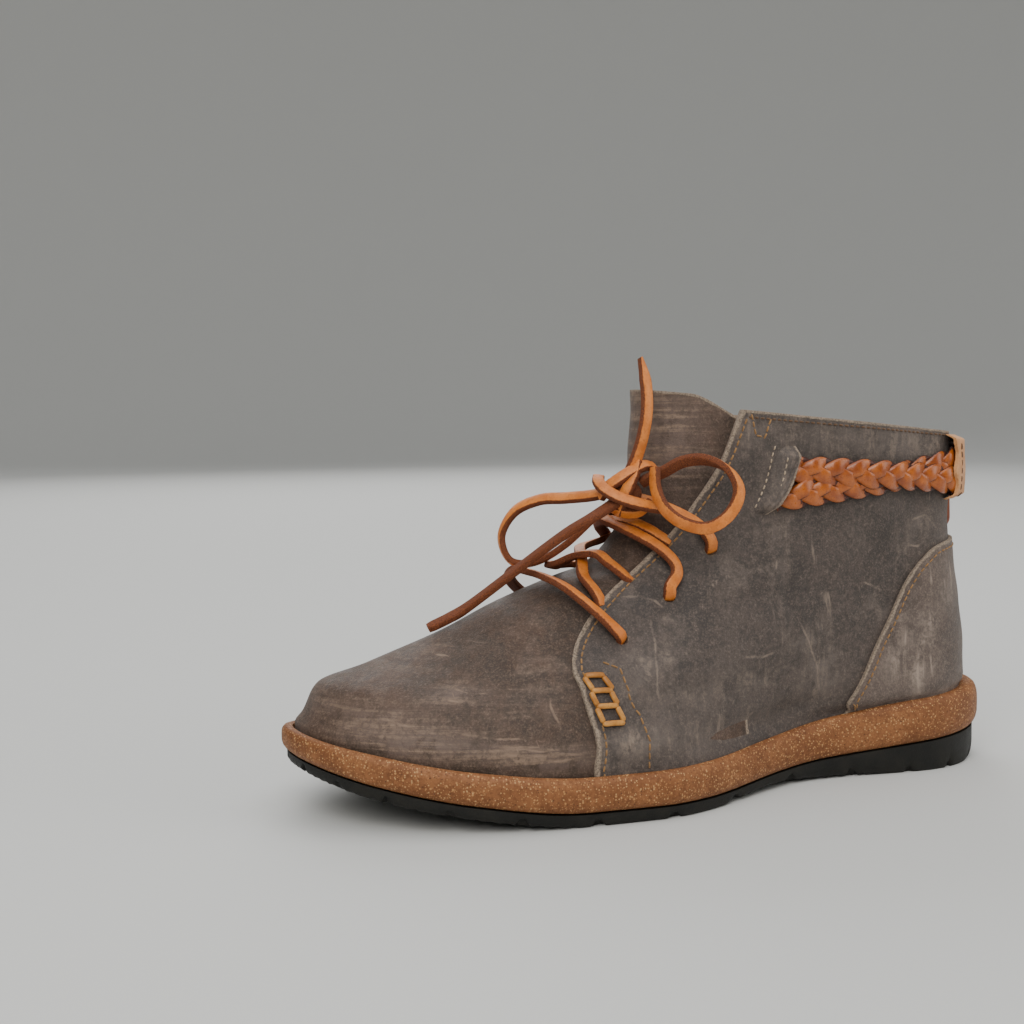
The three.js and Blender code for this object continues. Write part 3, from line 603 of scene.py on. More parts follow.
def sideLeather(name, face, faceLight, edgeDark, edgeLight, gloss, coat=0):
    # thong leather: smooth dyed face and fuzzy darker cut sides, told apart by the mark "rough"; on the
    # braids that mark also carries painted shade where a strand dives under the others
    made, shader = newMaterial(name, **{"Coat Weight": coat, "Coat Roughness": .22,
                                        "Specular IOR Level": .4})
    coords = objectCoords(made)
    patch = noise(made, coords, 190, 4, .6)
    fine = noise(made, coords, 1300, 3, .65)
    fibre = noise(made, coords, 2600, 3, .7)
    top = blended(made, ranged(made, patch, .35, .65), face, faceLight)
    top = blended(made, ranged(made, fine, .5, .75, 0, .5), top, [c * .55 for c in face])
    side = blended(made, ranged(made, fibre, .35, .7), edgeDark, edgeLight)
    rough = plus(made, mark(made, "rough"), ranged(made, fine, .3, .7, -.2, .2))
    # picks the side colour: real cut sides, and on the braids also painted shade in the dives
    where = ranged(made, rough, .35, .65)
    shine = plus(made, times(made, where, .85 - gloss),
                  ranged(made, fine, .3, .7, gloss - .04, gloss + .06))
    height = weighted(made, (patch, .3), (fine, .12), (times(made, fibre, where), .5))
    return dressed(made, shader, blended(made, where, top, side), shine, height, .0006, .6)


def plainLeather(name, dark, light, bump=.0006):
    made, shader = newMaterial(name, **{"Sheen Weight": .1})
    coords = objectCoords(made)
    patch = noise(made, coords, 160, 4, .65)
    fine = noise(made, coords, 1700, 3, .7)
    tone = weighted(made, (patch, .6), (fine, .4))
    colour = blended(made, ranged(made, tone, .36, .66), dark, light)
    return dressed(made, shader, colour, ranged(made, fine, .3, .7, .7, .88), tone, bump, .6)


quarterLeather = waxedLeather("quarterLeather", dark=(.038, .029, .025), middle=(.078, .059, .050),
                              pale=(.222, .168, .130), bloom=(.146, .117, .100), scuff=.55,
                              streak=((260, 260, 26), (0, .25, .2)), amount=.7)
vampLeather = waxedLeather("vampLeather", dark=(.040, .024, .015), middle=(.075, .042, .027),
                           pale=(.245, .168, .118), bloom=(.152, .108, .088), scuff=.45,
                           streak=((26, 26, 480), (.05, .06, 0)), amount=.9)
counterLeather = waxedLeather("counterLeather", dark=(.066, .047, .038), middle=(.120, .088, .072),
                              pale=(.290, .225, .180), bloom=(.190, .150, .125), scuff=.70,
                              streak=((330, 330, 28), (0, .08, 0)), amount=.9)
laceLeather = sideLeather("laceLeather", face=(.53, .145, .018), faceLight=(.68, .215, .038),
                          edgeDark=(.085, .022, .008), edgeLight=(.25, .070, .022), gloss=.44)
# the braid's side colours are very dark: they colour the cut sides and the painted shade where strands dive
# under each other
braidLeather = sideLeather("braidLeather", face=(.250, .050, .003), faceLight=(.42, .105, .008),
                           edgeDark=(.035, .006, .002), edgeLight=(.070, .012, .004), gloss=.30, coat=.45)
goldenLeather = sideLeather("goldenLeather", face=(.36, .135, .020), faceLight=(.54, .25, .055),
                            edgeDark=(.14, .045, .010), edgeLight=(.24, .09, .025), gloss=.44)
strapLeather = plainLeather("strapLeather", (.46, .20, .070), (.62, .32, .14))
stripLeather = plainLeather("stripLeather", (.165, .034, .011), (.30, .085, .03))
liningLeather = plainLeather("liningLeather", (.26, .19, .13), (.38, .29, .21), .0003)
rawLeather = plainLeather("rawLeather", rawTone, [c * 1.5 for c in rawTone])
threadTones = dict(brownThread=(.085, .044, .020), goldenThread=(.20, .105, .036),
                   paleThread=(.30, .23, .16))
threads = {name: plainLeather(name, tone, [min(1, c * 1.7) for c in tone], .0002)
           for name, tone in threadTones.items()}
print("leather materials made")

# free cords first: the knot, two loops and two ends, all of them flat lace
lace = dict(width=4.2, thickness=2.4, corner=.55, step=1.0, lean=36)
lowBar = [(.662, .400, .17), (.720, .460, .50), (.820, .530, .50), (.920, .562, .35), (1, .560, .9),
          (1.08, .545, 1.3), (1.16, .510, 1.0), (1.26, .455, .5), (1.338, .400, .17)]
underCross = [(1.235, .612, -1.3), (1.200, .602, -.85), (1.185, .597, -.55), (1.09, .600, -.10),
              (.995, .608, .10), (.955, .640, .50), (.900, .655, .40), (.850, .637, -.05),
              (.800, .612, -.50), (.775, .598, -.90), (.755, .588, -1.3)]
crossBelow = [(.735, .498, -1.3), (.752, .517, -.90), (.785, .545, -.60), (.860, .592, -.55),
              (.940, .640, -.60), (1, .662, -.50), (1.10, .670, -.50), (1.185, .680, -.60),
              (1.200, .690, -.85), (1.235, .700, -1.3)]
overCross = [(.664, .545, .17), (.684, .592, .42), (.728, .648, .48), (.790, .690, .42),
             (.880, .723, .08), (1, .742, -.17), (1.1, .748, -.50), (1.165, .750, -.67),
             (1.20, .750, -.95), (1.235, .748, -1.3)]
overBelow = [(1.336, .545, .17), (1.316, .592, .42), (1.272, .648, .48), (1.21, .690, .42),
             (1.12, .722, .08), (1, .742, .10), (.90, .745, -.10), (.835, .730, -.50),
             (.80, .716, -.85), (.765, .700, -1.3)]
topBar = [(.692, .705, .17), (.740, .745, .42), (.830, .785, .42), (.920, .800, .25), (1, .805, .17)]
topBar += [(2 - t, l, r) for t, l, r in topBar[-2::-1]]
knot = dict(turn=.90, level=.80, lift=11.1, core=(5.6, 4.4, 4.6), steps=26, sides=20)
knotAt = offLast([knot["turn"]], [knot["level"]], [knot["lift"]])[0]
laceSection, laceRough = flatSection(lace["width"], lace["thickness"], lace["corner"])


def lacePart(path, ups, taper=None):
    return (sweep(path, ups, laceSection, taper), tubeFaces(len(path), len(laceSection)),
            np.tile(laceRough, len(path)))


rest = offLast([.99, .995, 1.0], [.455, .42, .385], [3.6, 2.8, 2.6]) - knotAt
freeEnds = {  # face is where the smooth side looks; a loop's smooth side looks out and tilts to the front
    "lace_loop_outer": dict(ends="bare", tilt=[(0, -20), (.22, -30), (.40, 25), (.55, 50), (1, 50)], route=[
        (-5, 1.4, 3.8), (-11.2, 6.4, 7.5), (-16.6, 11.1, 11.1), (-22.3, 17.2, 11.8),
        (-27.5, 23.5, 8.5), (-29.8, 26.9, 1.5), (-26.1, 27.4, -6.2), (-18.5, 26.2, -10.7),
        (-11.4, 21.6, -9.1), (-7.4, 15.6, -4.5), (-6.4, 10.6, 2.2), (-6.9, 9, 9.4)]),
    "lace_loop_inner": dict(ends="object", tilt=[(0, 50), (.35, 50), (.5, 35), (.6, 15), (.72, -15),
                                                 (1, -30)], route=[
        (4.8, -4.3, .4), (10.1, -9.6, -1), (16.4, -17.1, -2), (23.5, -24.7, -2.9), (30.9, -31.1, -7.4),
        (35.1, -33.9, -16.6), (32.7, -30.2, -25.2), (25.4, -23.5, -25.2), (17, -15.9, -18.7),
        (9.2, -9, -9.3), (3.95, -4.05, -3.4)]),
    "lace_end_up": dict(ends="bare", face=(-.28, .96, 0), point=9, route=[
        (-.6, .4, 6.4), (-3.3, 2.1, 13.5), (-5.5, 3.2, 22.2), (-7.2, 2, 30.8), (-7.8, -.7, 39.6),
        (-7.2, -3.6, 47.3)]),
    "lace_end_front": dict(ends="bare", face=(-.1, -.35, -1), point=3, route=[
        (5.1, 2.6, -2.8), (13.3, 3.5, -7), (20.9, .2, -11.8), (29.3, -4.2, -18.5), (38.5, -9.8, -26.6)]
        + rest.tolist())}
for name, cord in freeEnds.items():
    route = np.array(cord["route"], float) + knotAt
    length = np.linalg.norm(np.diff(smoothPath(route, 200), axis=0), axis=1).sum()
    path = smoothPath(route, int(length / lace["step"]))
    if "face" in cord:
        ups = np.tile(np.array(cord["face"], float), (len(path), 1))
    else:
        normal = np.linalg.svd(route - route.mean(0))[2][2]
        normal = normal * np.sign(normal @ np.array(back))
        radial = np.cross(normal, directions(path))
        radial *= np.sign((radial * (path - path.mean(0))).sum())
        angle = np.radians(np.interp(np.linspace(0, 1, len(path)), *zip(*cord["tilt"])))[:, None]
        ups = radial * np.cos(angle) + normal * np.sin(angle)
    taper = np.ones((len(path), 2))
    if cord["ends"] == "bare":
        point = cord.get("point", 3)
        taper[-point:, 0] = np.linspace(1, .12 if point > 5 else .7, point) ** .8
    points, faces, rough = lacePart(path, ups, taper)
    piece = meshPiece(name[5:], points, faces, [laceLeather], 45, {"rough": rough})
    place(piece, name)

# the knot's bands as places right, up and to the front of its middle, and where each face looks
knotAxes = np.array([cameraX, cameraY, back])
bands = [
    dict(face=(0, .62, .78), route=[(-9.6, 5.6, -2), (-9.9, 4.2, 1.2), (-8.4, 1.9, 4.4), (-4.4, -.9, 6.6),
                                    (.8, -2.9, 7.4), (6.0, -4.2, 6.2), (10.2, -5.0, 3.6), (12.6, -5.3, .6)]),
    dict(face=(-.35, .55, .76), route=[(-9.0, -1.0, .5), (-6.6, 2.2, 3.4), (-2.6, 5.2, 4.4), (2.0, 8.0, 3.4),
                                       (6.4, 9.8, 1.2), (9.4, 9.4, -1.4)]),
    dict(face=(-.55, .2, .8), route=[(-3.2, -6.6, 1.0), (-1.8, -2.4, 4.4), (.4, 2.4, 5.0), (2.4, 7.0, 3.6),
                                     (3.4, 11.0, 1.2)]),
    dict(face=(.3, -.75, .6), route=[(-6.8, -4.6, -1.4), (-3.4, -6.0, 1.6), (.8, -6.8, 2.4), (5.0, -6.0, 1.4),
                                     (8.2, -3.2, -.8)])]
parts = []
for band in bands:
    path = smoothPath(knotAt + np.array(band["route"], float) @ knotAxes, knot["steps"])
    parts.append(lacePart(path, np.tile(np.array(band["face"], float) @ knotAxes, (knot["steps"], 1))))
ballTurns = np.linspace(0, np.pi, 11)[1:-1]
ball = np.array([[math.sin(a) * math.cos(b), math.sin(a) * math.sin(b), math.cos(a)]
                 for a in ballTurns for b in np.linspace(0, 2 * np.pi, knot["sides"], endpoint=False)])
ballFaces = [face[::-1] for face in tubeFaces(len(ballTurns), knot["sides"])]
parts.append((knotAt + ball * knot["core"], ballFaces, np.ones(len(ball))))
sweptPiece("knot", parts, laceLeather, 45, "lace_knot")


# laces on the boot: out of the punched holes, over the quarters and across the tongue
def lacePath(places, hole=None, mirrorHole=False, lift=None):
    # points and ups of a lace on the last; it starts inside a punched hole where one is given
    rows = np.array(places)
    under = boot["quarterStep"] + boot["gap"] + rows[:, 2] * lace["thickness"] + lace["thickness"] / 2
    if lift is not None:
        under = under + lift * np.exp(-((rows[:, 0] - 1) / .11) ** 2)
    points = offLast(rows[:, 0], rows[:, 1], under)
    ups = outward(rows[:, 0], rows[:, 1])
    for which, at in ((0, 1), (-1, -2)):
        if hole is None or (which == -1 and not mirrorHole):
            continue
        turn = hole[0] if rows[which, 0] < 1 else 2 - hole[0]
        down = offLast([turn, turn, turn], [hole[1]] * 3, [-3.2, -.2, 2.2])
        away = points[which] - down[2]
        square = outward(np.array([turn]), np.array([hole[1]]))[0]
        away = away - square * (away @ square)
        away = points[at] - down[2] if np.linalg.norm(away) < .5 else away
        away = away - square * (away @ square)
        away /= np.linalg.norm(away)
        down[2] += away * .5
        side = np.stack([-away, -away, -away * .75 + square * .65])
        if which == 0:
            points, ups = np.concatenate([down, points]), np.concatenate([side, ups])
        else:
            points, ups = np.concatenate([points, down[::-1]]), np.concatenate([ups, side[::-1]])
    count = int(np.linalg.norm(np.diff(points, axis=0), axis=1).sum() / lace["step"])
    lengths = lengthsAlong(points)
    path = smoothPath(points, count)
    upsAt = valuesAt(np.linspace(0, lengths[-1], count), lengths, ups)
    # the band leans, so that its lower edge stands off the leather
    across = np.cross(directions(path), upsAt)
    across *= np.sign(across[:, 2].sum()) / np.linalg.norm(across, axis=1, keepdims=True)
    near = np.minimum(np.arange(count), np.arange(count)[::-1] if mirrorHole else 99) * lace["step"]
    lean = math.radians(lace["lean"]) * (blendStep(near, 1, 14) if hole else np.ones(count))[:, None]
    path = path + upsAt * np.sin(lean) * lace["width"] * .22
    return path, upsAt * np.cos(lean) + across * np.sin(lean)


def lacePiece(name, *runs):
    return sweptPiece(name, [lacePart(*run) for run in runs], laceLeather, 45, "lace_" + name)


lacePiece("low_bar", lacePath(lowBar, laceHoles[0], True))
lacePiece("under_cross", lacePath(underCross), lacePath(crossBelow))
lacePiece("over_cross", lacePath(overCross, laceHoles[1], lift=1.3),
          lacePath(overBelow, laceHoles[1], lift=-1.1))
lacePiece("top_bar", lacePath(topBar, laceHoles[2], True))
print("laces run")


# vamp and tongue in one sheet
creaseSteps = 60


def crease(turn, level, line, width, depth):
    # soft trough (or ridge, with a negative depth) along a line of (turn, level) points, width in turns
    at = np.array(line, float)
    lengths = lengthsAlong(at)
    spots = valuesAt(np.linspace(0, lengths[-1], creaseSteps), lengths, at)
    turn, level = np.broadcast_arrays(turn, level)
    apart = np.stack([turn[..., None] - spots[:, 0], (level[..., None] - spots[:, 1]) * .5], -1)
    far = np.sqrt((apart ** 2).sum(-1))
    fade = np.sin(np.pi * (far.argmin(-1) + .5) / creaseSteps) ** .6
    return -depth * fade * np.exp(-(far.min(-1) / width) ** 2)


def wavy(turn, level, size):
    # slow unevenness of soft leather
    return size * (np.sin(11.3 * turn + 7.1 * level) * np.sin(9.2 * level - 4.4 * turn + 1.3)
                   + .6 * np.sin(23.7 * turn - 15.1 * level + .7) * np.sin(19 * level + 8 * turn))


vamp = dict(rows=96, columns=190, reach=.16, tuck=.07, top=1.03, sinkFrom=.585, sinkTo=.675, depth=2.8,
            shoulder=.06, swell=4.2)


def rowsTo(top, count):
    body = np.linspace(0, top - .02, count)
    return np.concatenate([body, top - np.array([.014, .009, .0045, .0018, 0])])


levels = rowsTo(vamp["top"], vamp["rows"])
sunk = blendStep(levels, vamp["sinkFrom"], vamp["sinkTo"])
reach = mixed(vamp["reach"], vamp["tuck"], blendStep(levels, .45, .62))
first = edgeTurn(np.minimum(levels, 1)) - reach
share = np.linspace(0, 1, vamp["columns"])
share = np.concatenate([[0, .0008, .003], share[1:-1], [.997, .9992, 1]])
turn = first[:, None] + (2 - 2 * first)[:, None] * share[None]
shoulder = vamp["shoulder"] * blendStep(np.abs(2 * share - 1), .50, .95)
level = levels[:, None] - shoulder[None] * blendStep(levels, .80, vamp["top"])[:, None]

vampCreases = [  # line, width in turns, depth in mm
    ([(.80, .33), (.90, .43), (1.0, .465), (1.10, .43), (1.20, .33)], .035, .9),
    ([(.82, .27), (.92, .36), (1.0, .385), (1.08, .36), (1.18, .27)], .03, .5),
    ([(.86, .50), (1.0, .545), (1.14, .50)], .03, .8),
    ([(.79, .38), (.89, .465), (1.0, .50), (1.11, .465), (1.21, .38)], .03, -.7)]


def vampRelief(turn, level):
    # bends over the ball of the foot, the swell of the toes and slow unevenness
    relief = wavy(turn, level, .35) * blendStep(level, .05, .2)
    for line, width, depth in vampCreases:
        relief += crease(turn, level, line, width, depth)
    return relief * blendStep(level, .78, .6)


offset = vampRelief(turn, level) - vamp["depth"] * sunk[:, None]
offset = offset + blendStep(level, .97, 1.04) * 1.2 * np.cos(np.pi * (turn - 1) / .5)
offset = offset + vamp["swell"] * blendStep(level, .74, .92) * np.exp(-((turn - 1.07) / .15) ** 2)
vampWear = dict(
    rubs=[(.765, .085, .05, .035, .9), (.66, .085, .07, .022, 1.0), (.64, .060, .06, .016, .9),
          (.80, .060, .05, .03, .75), (.86, .09, .04, .05, .6), (.765, .225, .03, .03, .8),
          (.90, .30, .08, .05, .35), (.70, .20, .06, .06, .3), (1.2, .08, .09, .03, .8),
          (1.33, .07, .07, .03, .7), (1.05, .16, .08, .06, .5), (1.24, .25, .06, .05, .5),
          (.86, .92, .12, .14, 1.0), (1.05, .94, .16, .14, .9), (.82, .125, .06, .04, .7),
          (.94, .13, .05, .03, .6), (.78, .2, .03, .05, .4)],
    scratches=[[(.700, .100), (.650, .088), (.615, .080)], [(.690, .080), (.655, .072), (.628, .066)],
               [(.735, .118), (.700, .112), (.665, .118)], [(.775, .245), (.750, .232), (.730, .236)],
               [(.765, .205), (.745, .200)], [(.640, .150), (.655, .200), (.665, .235)],
               [(.83, .130), (.79, .120)], [(1.26, .13), (1.20, .15), (1.15, .14)],
               [(1.30, .22), (1.24, .24)]])
place(leatherSheet("vamp_and_tongue", turn, level, offset - boot["vampWall"], offset,
                   [vampLeather, liningLeather], "tlr", vampWear), "upper", "tongue")
print("vamp and tongue shaped")

# quarters in one sheet round the heel, with punched lace holes
quarter = dict(rows=88, columns=250, hole=4.6, length=430)
levels = rowsTo(1, quarter["rows"])
edge = edgeTurn(levels)
edgeShare = np.array([0, .12, .4, .9, 1.6, 2.6, 3.9]) / quarter["length"]
share = np.concatenate([edgeShare, np.linspace(.012, .988, quarter["columns"]), 1 - edgeShare[::-1]])
turn = -edge[:, None] + 2 * edge[:, None] * share[None]
level = np.broadcast_to(levels[:, None], turn.shape)

quarterCreases = [  # line, width in turns, depth in mm
    ([(.66, .47), (.58, .50), (.50, .49), (.42, .44)], .035, .75),
    ([(.60, .62), (.52, .60), (.45, .55), (.40, .50)], .035, .6),
    ([(.62, .56), (.54, .555), (.46, .52)], .03, -.6),
    ([(.25, .73), (.18, .70), (.10, .70)], .03, .5),
    ([(.56, .30), (.48, .36), (.40, .38)], .05, .5),
    ([(.53, .080), (.47, .082), (.42, .080), (.38, .098), (.33, .085)], .018, 2.3),
    ([(.52, .125), (.44, .13), (.37, .15)], .03, -.4),
    ([(.44, .41), (.40, .32), (.372, .217), (.36, .13)], .016, -.35),
    ([(.640, .445), (.603, .365), (.578, .292), (.552, .198)], .012, -.3),
    ([(.56, .52), (.50, .40), (.47, .28)], .03, .45)]


def quarterRelief(turn, level):
    side = np.abs(turn)
    relief = wavy(turn, level, .3) * blendStep(level, .05, .2)
    for line, width, depth in quarterCreases:
        relief += crease(side, level, line, width, depth)
    return relief * blendStep(level, 1.02, .8)


relief = quarterRelief(turn, level)
step = boot["quarterStep"]
quarterWear = dict(
    rubs=[(.57, .095, .035, .030, 1.1), (.372, .22, .02, .06, .8), (.40, .33, .02, .07, .6),
          (.36, .14, .02, .04, .8), (.47, .22, .05, .05, .35), (.60, .84, .03, .07, .7),
          (.50, .10, .06, .03, .4), (.27, .69, .04, .04, .5), (.45, .95, .20, .06, .55),
          (.20, .92, .15, .08, .4), (-.45, .95, .2, .06, .5), (.585, .30, .02, .08, .5),
          (.66, .96, .03, .04, .8), (.44, .10, .03, .03, .4), (.53, .20, .03, .03, .4),
          (-.57, .10, .04, .04, .9), (-.40, .25, .03, .08, .7), (-.50, .35, .05, .05, .4),
          (-.62, .85, .04, .06, .6), (-.30, .60, .05, .05, .5)],
    scratches=[[(.720, .522), (.693, .522), (.662, .505), (.640, .482)],
               [(.640, .445), (.603, .365), (.578, .292), (.552, .198)],
               [(.497, .485), (.482, .450), (.470, .410)],
               [(.438, .408), (.403, .320), (.372, .217), (.362, .135)],
               [(.292, .713), (.250, .723), (.212, .682)], [(.285, .640), (.262, .632), (.245, .650)],
               [(.360, .520), (.318, .478)], [(.310, .600), (.300, .545)], [(.545, .640), (.530, .600)],
               [(.610, .560), (.600, .545)], [(.480, .300), (.455, .290), (.440, .300)],
               [(-.70, .50), (-.64, .47), (-.60, .40)], [(-.45, .40), (-.41, .30), (-.39, .20)],
               [(-.35, .60), (-.28, .63)], [(-.55, .20), (-.50, .16)]])
quarters = leatherSheet("quarters", turn, level, relief - 1.0, relief + step,
                        [quarterLeather, liningLeather, rawLeather], "tlr", quarterWear)
punches = []
for side in (1, -1):
    for holeTurn, holeLevel in laceHoles:
        at, high = np.array([side * holeTurn]), np.array([holeLevel])
        punches.append((inFrame(offLast(at, high, .5)[0]), outward(at, high)[0]))
cutters = []
for centre, square in punches:
    turned = Vector(square).to_track_quat("Z", "Y").to_euler()
    bpy.ops.mesh.primitive_cylinder_add(vertices=28, radius=quarter["hole"] / 2000, depth=.014,
                                        location=centre, rotation=turned)
    cutters.append(bpy.context.object)
chooseOnly(*cutters)
bpy.ops.object.join()
punch = bpy.context.object
chooseOnly(quarters)
bore = quarters.modifiers.new("holes", "BOOLEAN")
bore.object = punch
bore.solver = "EXACT"
bpy.ops.object.modifier_apply(modifier="holes")
bpy.data.objects.remove(punch)
count = len(quarters.data.polygons)
centres, normals, chosen = np.zeros(count * 3), np.zeros(count * 3), np.zeros(count, np.int32)
quarters.data.polygons.foreach_get("center", centres)
quarters.data.polygons.foreach_get("normal", normals)
quarters.data.polygons.foreach_get("material_index", chosen)
centres, normals = centres.reshape(-1, 3), normals.reshape(-1, 3)
for centre, square in punches:
    apart = centres - np.array(centre)
    far = np.linalg.norm(apart - np.outer(apart @ square, square), axis=1)
    chosen[(far < quarter["hole"] / 2000 + .0001) & (np.abs(normals @ square) < .5)] = 2
quarters.data.polygons.foreach_set("material_index", chosen)
place(quarters, "upper")
print("quarters shaped and punched")


# lines on the last, for stitches and thongs
def shiftLine(turns, levels, distance):
    # the same line moved sideways on the last, in mm
    turns, levels = np.asarray(turns, float), np.asarray(levels, float)
    points = lastPoint(turns, levels)
    along = directions(points)
    side = np.cross(outward(turns, levels), along)
    byTurn = (lastPoint(turns + .004, levels) - lastPoint(turns - .004, levels)) / .008
    byLevel = (lastPoint(turns, levels + .004) - lastPoint(turns, np.maximum(0, levels - .004))) / .008
    moved = []
    for s, a, b in zip(side, byTurn, byLevel):
        moved.append(np.linalg.lstsq(np.stack([a, b], 1), s * distance, rcond=None)[0])
    moved = np.array(moved)
    return turns + moved[:, 0], levels + moved[:, 1]


stitch = dict(spacing=3.0, length=2.5, radius=.34, lift=.12)
ringAt = np.array([-.5, -.38, 0, .38, .5])
ringRadius = np.array([.35, .9, 1, .9, .35])
ringDrop = np.array([-1.1, -.25, 0, -.25, -1.1])
hexagon = np.linspace(0, 2 * np.pi, 6, endpoint=False)


def stitchRow(turns, levels, offset, spacing=None, length=None, radius=None):
    # one short sunk thread after the other
    spacing = spacing or stitch["spacing"]
    length = length or stitch["length"]
    radius = radius or stitch["radius"]
    points = offLast(turns, levels, offset)
    lengths = lengthsAlong(points)
    at = (np.arange(int(lengths[-1] / spacing)) + .5) * spacing
    t, l = np.interp(at, lengths, turns), np.interp(at, lengths, levels)
    o = np.interp(at, lengths, np.broadcast_to(offset, np.shape(turns)))
    ups = outward(t, l)
    centres = offLast(t, l, o + stitch["lift"])
    ahead = valuesAt(at + .5, lengths, points) - valuesAt(at - .5, lengths, points)
    along = ahead / np.linalg.norm(ahead, axis=1, keepdims=True)
    side = np.cross(along, ups)
    side /= np.linalg.norm(side, axis=1, keepdims=True)
    parts = []
    for c, a, s, u, tilt in zip(centres, along, side, ups, np.sin(np.arange(len(at)) * 2.4) * .06):
        a2 = a * math.cos(tilt) + s * math.sin(tilt)
        s2 = s * math.cos(tilt) - a * math.sin(tilt)
        rings = [c + a2 * (x * length) + u * (d * radius)
                 + np.outer(np.cos(hexagon), s2) * r * radius + np.outer(np.sin(hexagon), u) * r * radius
                 for x, r, d in zip(ringAt, ringRadius, ringDrop)]
        parts.append((np.concatenate(rings), tubeFaces(5, 6), np.zeros(30)))
    return parts


def bothSides(turns, levels, offset, **more):
    # the same row on the outer and the inner side
    result = []
    for side in (1, -1):
        surface = offset(side * turns, levels) if callable(offset) else offset
        result += stitchRow(side * turns, levels, surface, **more)
    return result


def quarterTop(turns, levels):
    return quarterRelief(turns, levels) + step


edgeLevels = np.linspace(.01, .995, 200)
rowTurns, rowLevels = shiftLine(edgeTurn(edgeLevels), edgeLevels, -3.0)
golden = bothSides(rowTurns, rowLevels, quarterTop, spacing=2.7, length=2.2)
collarTurns = np.linspace(-.676, .676, 400)
collarLevels = np.full(400, .983)
brown = stitchRow(collarTurns, collarLevels, quarterTop(collarTurns, collarLevels), spacing=2.2, length=1.6,
                  radius=.38)
golden += bothSides(*dense([(.664, .992), (.652, .943), (.633, .941), (.621, .992)]), quarterTop,
                   spacing=2.6, length=2.2)
pale = bothSides(*dense([(.610, .925), (.615, .902), (.623, .820), (.631, .765)]), quarterTop, spacing=2.4,
                 length=1.6, radius=.3)
ladderRow = dense([(.645, .322), (.618, .300), (.590, .235), (.567, .160), (.557, .103), (.555, .02)])
golden += bothSides(*ladderRow, quarterTop, spacing=3.0)


def threadPiece(name, parts, material, slotName):
    points, faces, _ = collect(parts)
    return place(meshPiece(name, points, faces, [material], 80), slot=slotName)


threadPiece("quarter_stitches", brown, threads["brownThread"], "upper")
threadPiece("front_edge_stitches", golden, threads["goldenThread"], "upper")

# pocket of leather over the braid ends, with its slit towards the heel
pocket = dict(slit=[(.7, .610), (.765, .593), (.835, .577), (.897, .566), (1, .552)], rows=44, columns=26,
              low=.752, high=.930, reach=.052, rise=4.6)
slitTurn = smooth(*zip(*pocket["slit"]))
pocketWear = dict(rubs=[(side * .59, at, .02, .03, .8) for side in (1, -1) for at in (.78, .84, .90)],
                  scratches=[])
levels = np.linspace(pocket["low"], pocket["high"], pocket["rows"])
share = np.concatenate([[0, .01, .03, .07], np.linspace(.12, 1, pocket["columns"] - 4)])
ends = np.minimum(blendStep(levels, pocket["low"], pocket["low"] + .035),
                  blendStep(levels, pocket["high"], pocket["high"] - .035))
turn = share[None] + (1 - ends[:, None]) * .12 * (1 - share[None])
turn = slitTurn(levels)[:, None] + pocket["reach"] * turn
level = np.broadcast_to(levels[:, None], turn.shape)
rise = pocket["rise"] * (1 - blendStep(share, .05, .95))[None] * ends[:, None] ** .7
rise = rise + .35 * np.sin(70 * level + 40 * share[None]) * ends[:, None] * (1 - share[None])
for side, name in ((1, "outer"), (-1, "inner")):
    sideTurn = turn if side > 0 else -turn[:, ::-1]
    sideRise = rise if side > 0 else rise[:, ::-1]
    sideEnds = np.broadcast_to(ends[:, None], rise.shape)
    surface = quarterTop(sideTurn, level) - .25 - .6 * (1 - sideEnds) + sideRise
    place(leatherSheet("braid_pocket_" + name, sideTurn, level, surface - 1.1 * np.minimum(1, sideRise + .3),
                       surface, [quarterLeather], "l" if side > 0 else "r", pocketWear, "lr"), slot="upper")
pocketRise = pocket["rise"] * (1 - blendStep(.42, .05, .95)) - .2
pale += bothSides(*dense([(.590, .900), (.597, .820), (.605, .772)]),
                  lambda t, l: quarterTop(t, l) + pocketRise, spacing=2.4, length=1.6, radius=.3)
threadPiece("pocket_stitches", pale, threads["paleThread"], "upper")
print("stitches sewn")

# heel counter
counter = dict(rows=46, thickness=1.3, over=1.6)
counterEdge = [(.345, .020), (.325, .09), (.308, .183), (.299, .30), (.288, .43), (.270, .53), (.240, .60),
               (.205, .632), (.12, .642), (0, .645)]
half = smoothPath([(t * 100, l * 55, 0) for t, l in counterEdge], 110) / (100, 55, 1)
edgeT = np.concatenate([half[:, 0], -half[::-1][1:, 0]])[::-1]
edgeL = np.concatenate([half[:, 1], half[::-1][1:, 1]])[::-1]
share = np.concatenate([np.linspace(0, .96, counter["rows"]), [.975, .986, .994, .998, 1]])
turn = edgeT[None] * (1 + .02 * (1 - share[:, None]))
level = edgeL[None] * share[:, None]
foot = blendStep(level, .02, .09)
under = quarterTop(turn, level) + (counter["over"] - 1.5) * foot - .3 * (1 - foot)
over = under + mixed(.7, counter["thickness"], foot)
over += crease(np.abs(turn), level, [(.30, .10), (.20, .12), (0, .13)], .03, .35)
over += crease(np.abs(turn), level, [(.26, .45), (.14, .40), (0, .42)], .04, .3)
